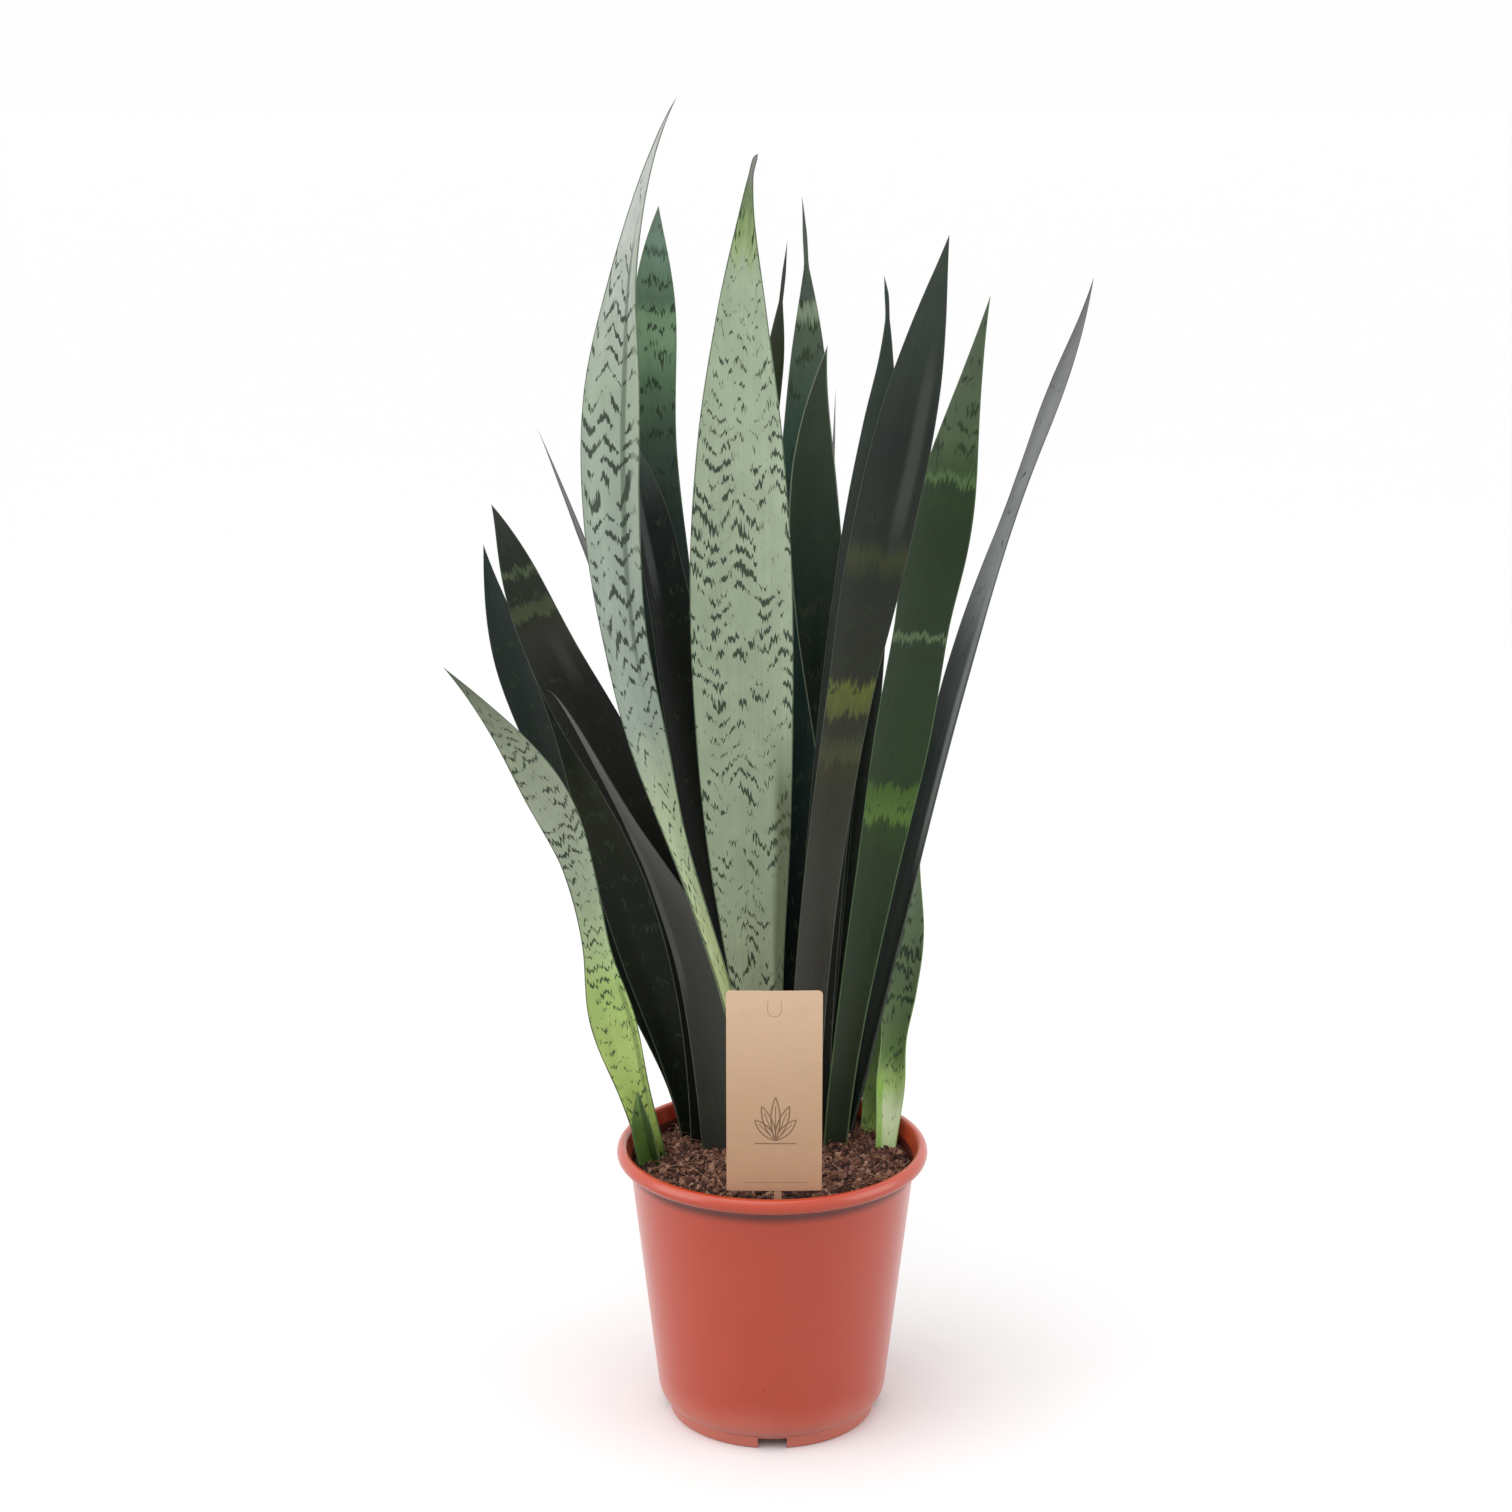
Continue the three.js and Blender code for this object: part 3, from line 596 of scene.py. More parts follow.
SKINS = {
    "leaf_sheath_left": dict(
        GREEN, tone_sheen_shade_strips=((0.6, 0.7, -0.2, 1.2, 0.8, srgb(34, 54, 20)),),
        ground=((0, 64, 96, 36), (0.6, 84, 118, 54), (1, 116, 146, 88)),
        marks=((0, 0.2), (1, 0.3))),
    "leaf_pale_left": dict(
        PALE, seed=1.3, gain=1.15, zigzag=0.002, pitch=0.008, cover=0.52, breaks=2.2, fringe=0.01,
        tone_sheen_shade_strips=((0.75, 0.2, 0.12, 0.45, 0.6, srgb(104, 122, 60)),),
        ground=((0.05, 84, 108, 40), (0.13, 166, 192, 100), (0.24, 184, 208, 122),
                (0.4, 176, 204, 124), (0.5, 176, 196, 146), (0.62, 160, 172, 146),
                (0.8, 152, 162, 140), (0.9, 138, 148, 124), (1, 84, 92, 78)),
        marks=((0, 0.6), (0.2, 0.5), (0.5, 0.55), (0.85, 0.7), (1, 0.2))),
    "leaf_pale_tall": dict(
        PALE, seed=2.9, gain=1.18,
        tone_sheen_shade_strips=((0.5, 0.12, 0.42, 0.88, 0.6, srgb(70, 86, 66)),
                 (0.86, 0.16, 0.5, 0.9, 0.6, srgb(190, 202, 180))),
        ground=((0.05, 150, 162, 110), (0.18, 168, 182, 128), (0.28, 170, 184, 144),
                (0.36, 166, 178, 148), (0.42, 150, 164, 150), (0.55, 162, 176, 162),
                (0.7, 172, 188, 166), (0.85, 208, 214, 206), (1, 226, 228, 224)),
        marks=((0, 0.5), (0.3, 0.5), (0.42, 0.5), (0.5, 0.9), (0.68, 0.85), (0.8, 0.5), (0.9, 0.25),
               (1, 0.1))),
    "leaf_pale_centre": dict(
        PALE, seed=5.2, zigzag=0.006, pitch=0.0098, cover=0.42, fringe=0.012, gain=1.05,
        # The dark strip low on its right side is a painted shadow cast by leaf_dark_tall_right.
        tone_sheen_shade_strips=((0.85, 0.35, 0.02, 0.42, 0.75, srgb(74, 84, 52)),),
        ground=((0.05, 140, 152, 110), (0.14, 156, 168, 134), (0.2, 170, 184, 152),
                (0.5, 172, 188, 160), (0.62, 178, 194, 166), (0.79, 172, 190, 160),
                (0.815, 162, 184, 136), (0.84, 146, 170, 112), (0.87, 122, 144, 100),
                (0.905, 118, 136, 104), (0.925, 142, 140, 134), (1, 156, 150, 150)),
        marks=((0.08, 1), (0.22, 1), (0.27, 0.3), (0.31, 1), (0.36, 0.9), (0.39, 0.35), (0.43, 1),
               (0.58, 1), (0.65, 0.6), (0.72, 0.42), (0.8, 0.36), (0.84, 0.7), (0.9, 0.6), (1, 0))),
    "leaf_green_back_left": dict(
        GREEN, seed=3.1,
        ground=((0.3, 24, 34, 26), (0.6, 34, 46, 42), (0.68, 52, 70, 56), (0.74, 78, 104, 78),
                (0.79, 112, 140, 108), (0.82, 108, 136, 104), (0.84, 78, 102, 80),
                (0.91, 104, 130, 110), (0.915, 60, 80, 66), (0.93, 108, 132, 114), (1, 96, 112, 100)),
        marks=((0, 0.3), (0.6, 0.6), (0.8, 0.7), (0.9, 0.3), (1, 0.1))),
    "leaf_green_right": dict(
        GREEN, seed=6.4, stroke=srgb(40, 56, 36),
        ground=((0.1, 44, 54, 38), (0.36, 44, 60, 36), (0.395, 52, 72, 38), (0.4, 92, 122, 58),
                (0.44, 72, 100, 46), (0.446, 44, 62, 36), (0.55, 44, 62, 38), (0.645, 46, 62, 42),
                (0.655, 104, 128, 92), (0.664, 44, 60, 40), (0.75, 40, 58, 34), (0.8, 36, 54, 30),
                (0.856, 42, 64, 34), (0.862, 98, 128, 80), (0.868, 56, 78, 46), (0.9, 84, 102, 72),
                (1, 86, 100, 80)),
        marks=((0, 0.3), (0.38, 0.3), (0.4, 0.8), (0.45, 0.3), (0.8, 0.4), (0.87, 0.8), (1, 0.2))),
    "leaf_mottled_right": dict(
        GREEN, seed=7.8, pitch=0.009, margin=srgb(150, 178, 110),
        tone_sheen_shade_strips=((-0.8, 0.4, -0.1, 0.4, 0.8, srgb(120, 170, 50)),),
        ground=((0.1, 180, 206, 140), (0.24, 204, 218, 178), (0.34, 158, 186, 112),
                (0.44, 84, 112, 56), (0.7, 92, 112, 78), (1, 112, 130, 102)),
        marks=((0, 0.1), (0.4, 0.4), (0.6, 0.9), (0.8, 1), (1, 0.5))),
    "leaf_young_pale_right": dict(
        GREEN, seed=8.2, stroke=srgb(120, 150, 90), margin=srgb(190, 200, 170),
        ground=((0.1, 190, 196, 150), (0.5, 186, 202, 160), (1, 176, 194, 166)),
        marks=((0, 0.3), (1, 0.4))),
    "leaf_young_green_right": dict(
        GREEN, seed=8.9, stroke=srgb(96, 130, 66), margin=srgb(170, 190, 130),
        ground=((0.2, 150, 180, 90), (0.6, 140, 168, 104), (1, 120, 150, 92)),
        marks=((0, 0.4), (1, 0.5))),
    "leaf_dark_outer_left": dict(
        DARK, seed=1.7,
        ground=((0.1, 28, 34, 26), (0.6, 30, 38, 32), (1, 44, 54, 50)),
        marks=((0, 0.2), (1, 0.35))),
    "leaf_dark_banded_left": dict(
        DARK, seed=4.4,
        tone_sheen_shade_strips=((0.3, 0.35, 0.55, 0.72, 0.5, srgb(72, 72, 70)),),
        ground=((0.3, 24, 26, 22), (0.6, 30, 32, 28), (0.7, 48, 50, 42), (0.735, 40, 44, 32),
                (0.742, 74, 84, 58), (0.77, 68, 76, 54), (0.776, 34, 42, 32), (0.83, 38, 46, 34),
                (0.836, 84, 96, 70), (0.845, 74, 84, 62), (0.851, 34, 42, 34), (0.9, 44, 48, 42),
                (1, 58, 60, 56)),
        marks=((0, 0.1), (0.65, 0.2), (0.73, 0.6), (0.85, 0.8), (0.9, 0.2), (1, 0.1))),
    "leaf_dark_broad_left": dict(
        DARK, seed=5.9,
        ground=((0.1, 26, 32, 20), (0.6, 28, 34, 26), (0.72, 44, 48, 30), (0.8, 34, 40, 30),
                (1, 44, 52, 42)),
        marks=((0, 0.2), (0.7, 0.5), (1, 0.3))),
    "leaf_grey_twisted_left": dict(
        DARK, seed=6.6, roughness=0.5,
        # The pale grey strip along its left margin is painted sheen.
        tone_sheen_shade_strips=((-0.85, 0.18, 0.15, 0.6, 0.35, srgb(122, 122, 116)),),
        ground=((0.1, 58, 60, 54), (0.3, 66, 66, 62), (0.45, 74, 73, 70), (0.6, 78, 78, 72),
                (1, 62, 66, 60)),
        marks=((0, 0.3), (0.5, 0.15), (1, 0.2))),
    "leaf_needle_left": dict(
        DARK, seed=7.1,
        ground=((0.2, 40, 44, 38), (1, 74, 78, 74)),
        marks=((0, 0.3), (1, 0.1))),
    "leaf_dark_mid_left": dict(
        DARK, seed=7.3,
        # The grey strip on one half of its upper part is painted sheen.
        tone_sheen_shade_strips=((-0.5, 0.3, 0.66, 1.0, 0.6, srgb(96, 100, 98)),),
        ground=((0.1, 24, 28, 20), (0.6, 20, 23, 20), (0.8, 26, 30, 28), (0.88, 58, 66, 62),
                (1, 92, 102, 96)),
        marks=((0, 0.1), (0.6, 0.2), (1, 0.6))),
    "leaf_narrow_back": dict(
        DARK, seed=9.5,
        ground=((0.2, 34, 44, 30), (0.8, 44, 60, 32), (0.88, 54, 60, 44), (1, 70, 68, 68)),
        marks=((0, 0.3), (0.85, 0.6), (1, 0.1))),
    "leaf_teal_back": dict(
        DARK, seed=3.7,
        ground=((0.3, 20, 28, 24), (0.5, 34, 56, 52), (0.66, 52, 84, 78), (0.76, 64, 86, 74),
                (0.84, 78, 94, 78), (0.868, 84, 100, 80), (0.874, 134, 150, 124),
                (0.886, 128, 142, 118), (0.892, 72, 86, 74), (0.95, 84, 92, 84), (1, 84, 88, 86)),
        marks=((0, 0.2), (0.6, 0.7), (0.85, 0.8), (1, 0.1))),
    "leaf_dark_mid_right": dict(
        DARK, seed=4.1, margin=srgb(132, 142, 122), margin_width=0.0006,
        ground=((0.3, 22, 28, 22), (0.65, 32, 44, 36), (0.9, 56, 68, 54), (1, 58, 66, 56)),
        marks=((0, 0.2), (0.7, 0.5), (1, 0.6))),
    "leaf_needle_back": dict(
        DARK, seed=2.2,
        ground=((0.3, 32, 38, 32), (1, 80, 80, 80)),
        marks=((0, 0.2), (1, 0.1))),
    "leaf_dark_back_right": dict(
        DARK, seed=2.6,
        ground=((0.3, 24, 28, 24), (0.8, 42, 54, 46), (1, 52, 58, 54)),
        marks=((0, 0.2), (1, 0.4))),
    "leaf_dark_tall_right": dict(
        DARK, seed=3.4, gain=1.15,
        # The grey strip on the right of its upper part is painted sheen, where the fold turns to the light.
        tone_sheen_shade_strips=((0.5, 0.3, 0.64, 0.9, 0.55, srgb(92, 96, 92)),),
        ground=((0.1, 58, 58, 54), (0.3, 60, 60, 54), (0.4, 54, 54, 46), (0.438, 56, 56, 40),
                (0.446, 72, 74, 52), (0.462, 64, 68, 50), (0.47, 50, 52, 40), (0.488, 50, 52, 42),
                (0.494, 84, 90, 52), (0.52, 98, 106, 54), (0.528, 44, 48, 38), (0.63, 42, 46, 38),
                (0.652, 62, 68, 44), (0.67, 40, 44, 38), (0.78, 36, 42, 38), (0.9, 54, 64, 56),
                (1, 66, 74, 66)),
        marks=((0.3, 0.1), (0.42, 0.4), (0.52, 0.5), (0.56, 0.1), (0.66, 0.4), (0.75, 0.1), (1, 0.2))),
    "leaf_folded_far_right": dict(
        DARK, seed=8.5, roughness=0.5,
        # The pale grey strip and the pale grey upper part of its ground are painted sheen on its lit face.
        gain=1.15, tone_sheen_shade_strips=((0.6, 0.5, 0.28, 0.66, 0.75, srgb(150, 156, 152)),),
        ground=((0.1, 30, 36, 30), (0.4, 38, 46, 42), (0.5, 70, 76, 74), (0.58, 128, 132, 130),
                (0.8, 130, 132, 130), (1, 110, 112, 110)),
        marks=((0, 0.1), (1, 0.2))),
    "leaf_narrow_right": dict(
        DARK, seed=9.1,
        ground=((0.2, 32, 38, 28), (1, 40, 46, 40)),
        marks=((0, 0.3), (1, 0.3))),
}


def leaf_skin(name, skin, length):
    """Ground colour from base to tip, fringed strokes, a margin line, fine veins and a waxy face."""
    material, tree, shader = new_material(name + "_skin", Specular_IOR_Level=skin["specular"])
    seed = skin.get("seed", 0.4)
    spot = put(tree, "ShaderNodeAttribute", None, "Vector", attribute_name="leaf_place")
    across, along, edge = parts_of(spot)
    side, share, _ = parts_of(put(tree, "ShaderNodeAttribute", None, "Vector", attribute_name="leaf_share"))
    bands = use(
        tree, BROKEN_BANDS, "Mask", Along=along, Across=across, Side=side, Pitch=skin["pitch"],
        Zigzag=skin["zigzag"], Cover=stops(share, skin["marks"]) * skin["cover"],
        Breaks=skin["breaks"], Fringe=skin["fringe"], Folds=FOLDS, Seed=seed)
    veins = use(tree, VEINS, Along=along, Across=across, Spacing=0.0011, Seed=seed)
    broad = use(tree, MOTTLE, "Patches", Place=spot, Patch=0.016, Grain=0.0012, Seed=seed)
    margin = use(tree, MARGIN, Edge=edge, Along=along, Width=skin["margin_width"])
    tones = [(at, srgb(*tone)) for at, *tone in skin["ground"]]
    ground = stops(share - bands.out("Drift") / length, tones)
    shade = (0.72 + 0.34 * broad + 0.22 * veins) * skin.get("gain", 1.0)
    ground = tinted(1.0, ground, triple(shade, shade, shade), "MULTIPLY")
    color = tinted(bands * STROKE_INK, ground, skin["stroke"])
    # soft strips along the leaf: some of its own tone, some painted sheen, and on leaf_pale_centre a painted
    # shadow
    for centre, width, low, high, strength, tone in skin.get("tone_sheen_shade_strips", ()):
        strip = use(tree, TONE_SHEEN_SHADE_STRIP, Side=side, Share=share, Centre=centre, Width=width, Low=low, High=high)
        color = tinted(strip * strength, color, tone)
    color = tinted(margin * 0.8, color, skin["margin"])
    roughness = skin["roughness"] + (broad - 0.5) * 0.25 + (broad.out("Speckle") - 0.5) * 0.08
    height = veins * 0.6 + broad * 0.8 - bands * 0.15
    finish_material(tree, shader, color, roughness, height, 0.0004, 0.5)
    return material


STRAP = make_strap()
for leaf_name, leaf in LEAVES.items():
    chain = midrib(leaf_name, leaf)
    length = chain.attributes["reach"].data[len(chain.vertices) - 1].value
    skin = leaf_skin(leaf_name, SKINS[leaf_name], length)
    strap = grown(leaf_name + "_blade", chain, STRAP, Rows=LEAF_ROWS + 2, Around=LEAF_AROUND,
                  Ripple=0.0005, Ripple_Length=0.035, Seed=SKINS[leaf_name].get("seed", 0.4), Skin=skin)
    outward(strap.data)
    place(strap, leaf_name, leaf["slot"])


# ---------------------------------------------------------------- pot
BODY_LOW_R, BODY_LOW_Z = 64, 15  # outer radius and height where the straight wall starts
BODY_TOP_R, BODY_TOP_Z = 79, 146  # and where it ends, under the rim
# Radius and height of the pot's outline in millimetres, from under the floor, round the foot,
# up the wall, over the rolled rim and down inside.
POT_OUTLINE = (
    (0, 7), (51.3, 7), (51.8, 0), (57, 0), (57.8, 0.9), (58.4, 6.4), (58.2, 7), (60.5, 8.4), (62.7, 11),
    (BODY_LOW_R, BODY_LOW_Z), (BODY_TOP_R, BODY_TOP_Z), (80.4, 148.4), (83.9, 149.4), (85.9, 150.8),
    (86.5, 153), (86.1, 155.4), (84.8, 157.4), (83.1, 158), (81.5, 157.5), (80.5, 156), (78, 148),
    (62.4, 15), (61.2, 11.6), (58.8, 9), (0, 9))
POT_SIDES = 160


def rounded(outline, steps=4, share=0.42):
    """The outline with each corner replaced by a short curve between its two edges."""
    points = [Vector(p) for p in outline]
    smooth = [points[0]]
    for before, here, after in zip(points, points[1:], points[2:]):
        reach = share * min((before - here).length, (after - here).length, 12)
        start = here + (before - here).normalized() * reach
        end = here + (after - here).normalized() * reach
        for step in range(steps + 1):
            t = step / steps
            smooth.append(start.lerp(here, t).lerp(here.lerp(end, t), t))
    return smooth + [points[-1]]


def subdivided(points, longest):
    """Long straight runs cut into steps no longer than `longest`."""
    run = [points[0]]
    for here, after in zip(points, points[1:]):
        count = max(1, math.ceil((after - here).length / longest))
        run += [here.lerp(after, (i + 1) / count) for i in range(count)]
    return run


def make_turned():
    """Turns an outline chain round the Z axis, then cuts drainage holes and foot notches."""
    tree, have, exit_node = group(
        "turned_pot", "GeometryNodeTree",
        {
            "Geometry": ("geometry", None), "Rows": ("int", 100), "Sides": ("int", 160),
            "Holes": ("int", 8), "Hole Radius": ("float", 0.005), "Hole Ring Radius": ("float", 0.038),
            "Notches": ("int", 4), "Notch Width": ("float", 0.016), "Notch Height": ("float", 0.0064),
            "Foot Radius": ("float", 0.0578), "Plastic": ("material", None),
        },
        {"Geometry": "geometry"},
    )
    sides = have["Sides"]
    grid = put(tree, "GeometryNodeMeshGrid", {"Vertices X": have["Rows"], "Vertices Y": sides + 1}, "Mesh")
    index = put(tree, "GeometryNodeInputIndex")
    row = calc("FLOOR", (index + 0.5) / (sides + 1))
    turn = (index - row * (sides + 1)) / sides * (2 * math.pi)
    spot = put(tree, "GeometryNodeSampleIndex", {
        "Geometry": have["Geometry"], "Value": put(tree, "GeometryNodeInputPosition"), "Index": row,
    }, "Value", data_type="FLOAT_VECTOR")
    radius, _, height = parts_of(spot)
    where = triple(radius * calc("COSINE", turn), radius * calc("SINE", turn), height)
    shell = put(tree, "GeometryNodeSetPosition", {"Geometry": grid, "Position": where})
    shell = put(tree, "GeometryNodeMergeByDistance", {"Geometry": shell, "Distance": 0.000002})

    def ring(count, ring_radius, cutter, first_turn):
        circle = put(tree, "GeometryNodeMeshCircle", {"Vertices": count, "Radius": ring_radius})
        place_turn = put(tree, "ShaderNodeCombineXYZ", {2: first_turn})
        circle = put(tree, "GeometryNodeTransform", {"Geometry": circle, "Rotation": place_turn})
        at = put(tree, "GeometryNodeInputPosition")
        x, y, _ = parts_of(at)
        facing = triple(0.0, 0.0, calc("ARCTAN2", y, x))
        copies = put(tree, "GeometryNodeInstanceOnPoints",
                     {"Points": circle, "Instance": cutter, "Rotation": facing})
        return put(tree, "GeometryNodeRealizeInstances", {"Geometry": copies})

    drill = put(tree, "GeometryNodeMeshCylinder",
                {"Vertices": 32, "Radius": have["Hole Radius"], "Depth": 0.03}, "Mesh")
    notch_depth = 0.014
    notch_size = triple(notch_depth, have["Notch Width"], have["Notch Height"] * 2)
    slot = put(tree, "GeometryNodeMeshCube", {"Size": notch_size}, "Mesh")
    half_step = math.pi / 8
    holes = ring(have["Holes"], have["Hole Ring Radius"], drill, half_step)
    notches = ring(have["Notches"], have["Foot Radius"] - 0.002, slot, 0.0)
    for cutters in (holes, notches):
        cut = put(tree, "GeometryNodeMeshBoolean", None, "Mesh", operation="DIFFERENCE", solver="EXACT")
        tree.links.new(shell.socket, cut.socket.node.inputs["Mesh 1"])
        tree.links.new(cutters.socket, cut.socket.node.inputs["Mesh 2"])
        shell = cut
    return finish_tree(tree, exit_node, shell, have["Plastic"])


def pot_plastic():
    """Moulded terracotta plastic: faint turning marks, a painted pale floor reflection towards the foot and
    a painted dark shade band under the rim.
    """
    material, tree, shader = new_material(
        "pot_plastic", Specular_IOR_Level=0.5, Coat_Weight=0.42, Coat_Roughness=0.2)
    spot = put(tree, "ShaderNodeTexCoord", None, "Object")
    x, y, z = parts_of(spot)
    cloudy = use(tree, MOTTLE, "Patches", Place=spot, Patch=0.03, Grain=0.003, Seed=2.0)
    rings = cloud(triple(0.2, calc("ARCTAN2", y, x) * 0.6, z * 900), 1, 2)
    # painted reflection: the wall grows paler and pinker towards the foot, where it mirrors the bright floor
    low = 1 - ease(z + (cloudy - 0.5) * 0.02, 0.004, 0.03)
    # painted shade: a dark band on the wall just under the rim
    painted_rim_shade = ease(z + (cloudy - 0.5) * 0.002, 0.1400, 0.1465) * (1 - ease(z, 0.1488, 0.1500))
    color = tinted(cloudy, srgb(190, 60, 28), srgb(198, 68, 36))
    # the pale pink is the painted floor reflection near the foot
    color = tinted(low * 0.45, color, srgb(222, 146, 128))
    # the dark red-brown is the painted shade under the rim
    color = tinted(painted_rim_shade * 0.92, color, srgb(70, 14, 6))
    roughness = 0.3 + (cloudy - 0.5) * 0.12 + low * 0.1 + painted_rim_shade * 0.3
    finish_material(tree, shader, color, roughness, rings * 0.08, 0.0002, 0.3)
    return material


outline = subdivided(rounded(POT_OUTLINE), 9)
chain = bare_mesh("pot_outline", [(r * MM, 0, z * MM) for r, z in outline])
pot = grown("pot_shell", chain, make_turned(), Rows=len(outline), Sides=POT_SIDES, Plastic=pot_plastic())
outward(pot.data)
pot.data.polygons.foreach_set("use_smooth", [True] * len(pot.data.polygons))
pot.data.set_sharp_from_angle(angle=math.radians(35))
place(pot, "pot", "pot")


# ---------------------------------------------------------------- potting mix
SOIL_EDGE_Z, SOIL_TOP_Z, SOIL_LOW_Z = 145.5, 148.5, 9.4
SOIL_LOW_R, SOIL_GAP = 56.0, 1.95  # radius at the bottom, and from the wall's outside to the mix
SOIL_RINGS, SOIL_SIDES = 64, 150


def wall_radius(z):
    """Outer radius of the pot's straight wall at a height."""
    slope = (BODY_TOP_R - BODY_LOW_R) / (BODY_TOP_Z - BODY_LOW_Z)
    return BODY_LOW_R + (z - BODY_LOW_Z) * slope


def soil_mesh():
    """The mix as one closed lump: its sides against the wall, its top crumbly."""
    points, faces = [], []
    edge = wall_radius(SOIL_EDGE_Z) - SOIL_GAP
    sides = [(wall_radius(z) - SOIL_GAP, z) for z in (15, 48, 81, 114)]
    rings = [(SOIL_LOW_R, SOIL_LOW_Z), *sides]
    rings += [(edge * (1 - i / SOIL_RINGS), None) for i in range(SOIL_RINGS)]
    for radius, z in rings:
        for i in range(SOIL_SIDES):
            turn = 2 * math.pi * i / SOIL_SIDES
            x, y = radius * math.cos(turn), radius * math.sin(turn)
            high = z if z is not None else soil_height(x, y, radius / edge)
            points.append((x * MM, y * MM, high * MM))
    for r in range(len(rings) - 1):
        for i in range(SOIL_SIDES):
            j = (i + 1) % SOIL_SIDES
            here, after = r * SOIL_SIDES, (r + 1) * SOIL_SIDES
            faces.append((here + i, here + j, after + j, after + i))
    for high, first in ((SOIL_LOW_Z, 0), (soil_height(0, 0, 0), (len(rings) - 1) * SOIL_SIDES)):
        hub = len(points)
        points.append((0, 0, high * MM))
        for i in range(SOIL_SIDES):
            pair = (first + i, first + (i + 1) % SOIL_SIDES)
            faces.append((hub, *(reversed(pair) if first == 0 else pair)))
    mesh = bare_mesh("soil_lump", points, faces)
    outward(mesh)
    return mesh


def soil_height(x, y, out):
    """Height of the mix's surface in millimetres; `out` is 0 on the axis and 1 at the wall."""
    here = Vector((x, y, 0))
    lumps = noise.fractal(here / 16, 0.8, 2.1, 4) * 1.8 + abs(noise.noise(here / 5)) * 1.6
    return between((SOIL_TOP_Z, SOIL_EDGE_Z), out ** 3) + lumps * (1 - 0.5 * out) - 0.6


def make_coir():
    """Scatters crumbs and short bent fibres over the top of the mix."""
    tree, have, exit_node = group(
        "coir_mix", "GeometryNodeTree",
        {
            "Geometry": ("geometry", None), "Crumbs": ("int", 3400), "Crumb Size": ("float", 0.0023),
            "Fibres": ("int", 480), "Fibre Length": ("float", 0.011), "Fibre Radius": ("float", 0.00013),
            "Top": ("float", 0.1435), "Reach": ("float", 0.0745), "Seed": ("int", 4),
            "Mix": ("material", None),
        },
        {"Geometry": "geometry"},
    )
    lump, seed = have["Geometry"], have["Seed"]
    x, y, z = parts_of(put(tree, "GeometryNodeInputPosition"))
    within = calc("SQRT", x * x + y * y)
    on_top = calc("MULTIPLY", calc("GREATER_THAN", z, have["Top"]), calc("LESS_THAN", within, have["Reach"]))

    per_area = 56.0  # one square metre over the area of the mix's top

    def scattered(count, shape, size_low, size_high, tilt, extra):
        density = count * per_area
        spots = put(tree, "GeometryNodeDistributePointsOnFaces",
                    {"Mesh": lump, "Selection": on_top, "Density": density, "Seed": seed + extra}, "Points")
        turn = put(tree, "FunctionNodeRandomValue", {
            "Min": (-tilt, -tilt, 0.0), "Max": (tilt, tilt, 2 * math.pi), "Seed": seed + extra + 1,
        }, "Value", data_type="FLOAT_VECTOR")
        size = put(tree, "FunctionNodeRandomValue",
                   {"Min": size_low, "Max": size_high, "Seed": seed + extra + 2}, "Value", data_type="FLOAT")
        tone = put(tree, "FunctionNodeRandomValue",
                   {"Min": 0.0, "Max": 1.0, "Seed": seed + extra + 3}, "Value", data_type="FLOAT")
        copies = put(tree, "GeometryNodeInstanceOnPoints",
                     {"Points": spots, "Instance": shape, "Rotation": turn, "Scale": size})
        copies = put(tree, "GeometryNodeStoreNamedAttribute",
                     {"Geometry": copies, "Name": "tone", "Value": tone + (2.0 if extra == 20 else 0.0)},
                     data_type="FLOAT", domain="INSTANCE")
        return put(tree, "GeometryNodeRealizeInstances", {"Geometry": copies})

    ball = put(tree, "GeometryNodeMeshIcoSphere", {"Radius": have["Crumb Size"], "Subdivisions": 2}, "Mesh")
    crumb = put(tree, "GeometryNodeTransform", {"Geometry": ball, "Scale": (1.0, 0.62, 0.42)})
    crumbs = scattered(have["Crumbs"], crumb, 0.25, 1.35, 1.1, 10)
    jag = put(tree, "ShaderNodeTexNoise", {"Scale": 420.0, "Detail": 1.0}, "Color")
    crumbs = put(tree, "GeometryNodeSetPosition",
                 {"Geometry": crumbs, "Offset": (jag - 0.5) * have["Crumb Size"] * 1.6})

    length = have["Fibre Length"]
    bow = put(tree, "GeometryNodeCurveQuadraticBezier", {
        "Resolution": 5, "Start": triple(length * -0.5, 0.0, 0.0),
        "Middle": triple(length * 0.1, length * 0.3, length * 0.25),
        "End": triple(length * 0.5, length * 0.05, 0.0)})
    thread = put(tree, "GeometryNodeCurvePrimitiveCircle", {"Resolution": 4, "Radius": have["Fibre Radius"]})
    fibre = put(tree, "GeometryNodeCurveToMesh", {"Curve": bow, "Profile Curve": thread, "Fill Caps": True})
    fibres = scattered(have["Fibres"], fibre, 0.25, 1.6, 0.45, 20)
    fibres = put(tree, "GeometryNodeSetPosition", {"Geometry": fibres, "Offset": (0.0, 0.0, 0.0011)})

    lump = put(tree, "GeometryNodeStoreNamedAttribute",
               {"Geometry": lump, "Name": "tone", "Value": 0.0}, data_type="FLOAT", domain="POINT")
    joined = put(tree, "GeometryNodeJoinGeometry")
    for part in (lump, crumbs, fibres):
        tree.links.new(part.socket, joined.socket.node.inputs[0])
    return finish_tree(tree, exit_node, joined, have["Mix"])


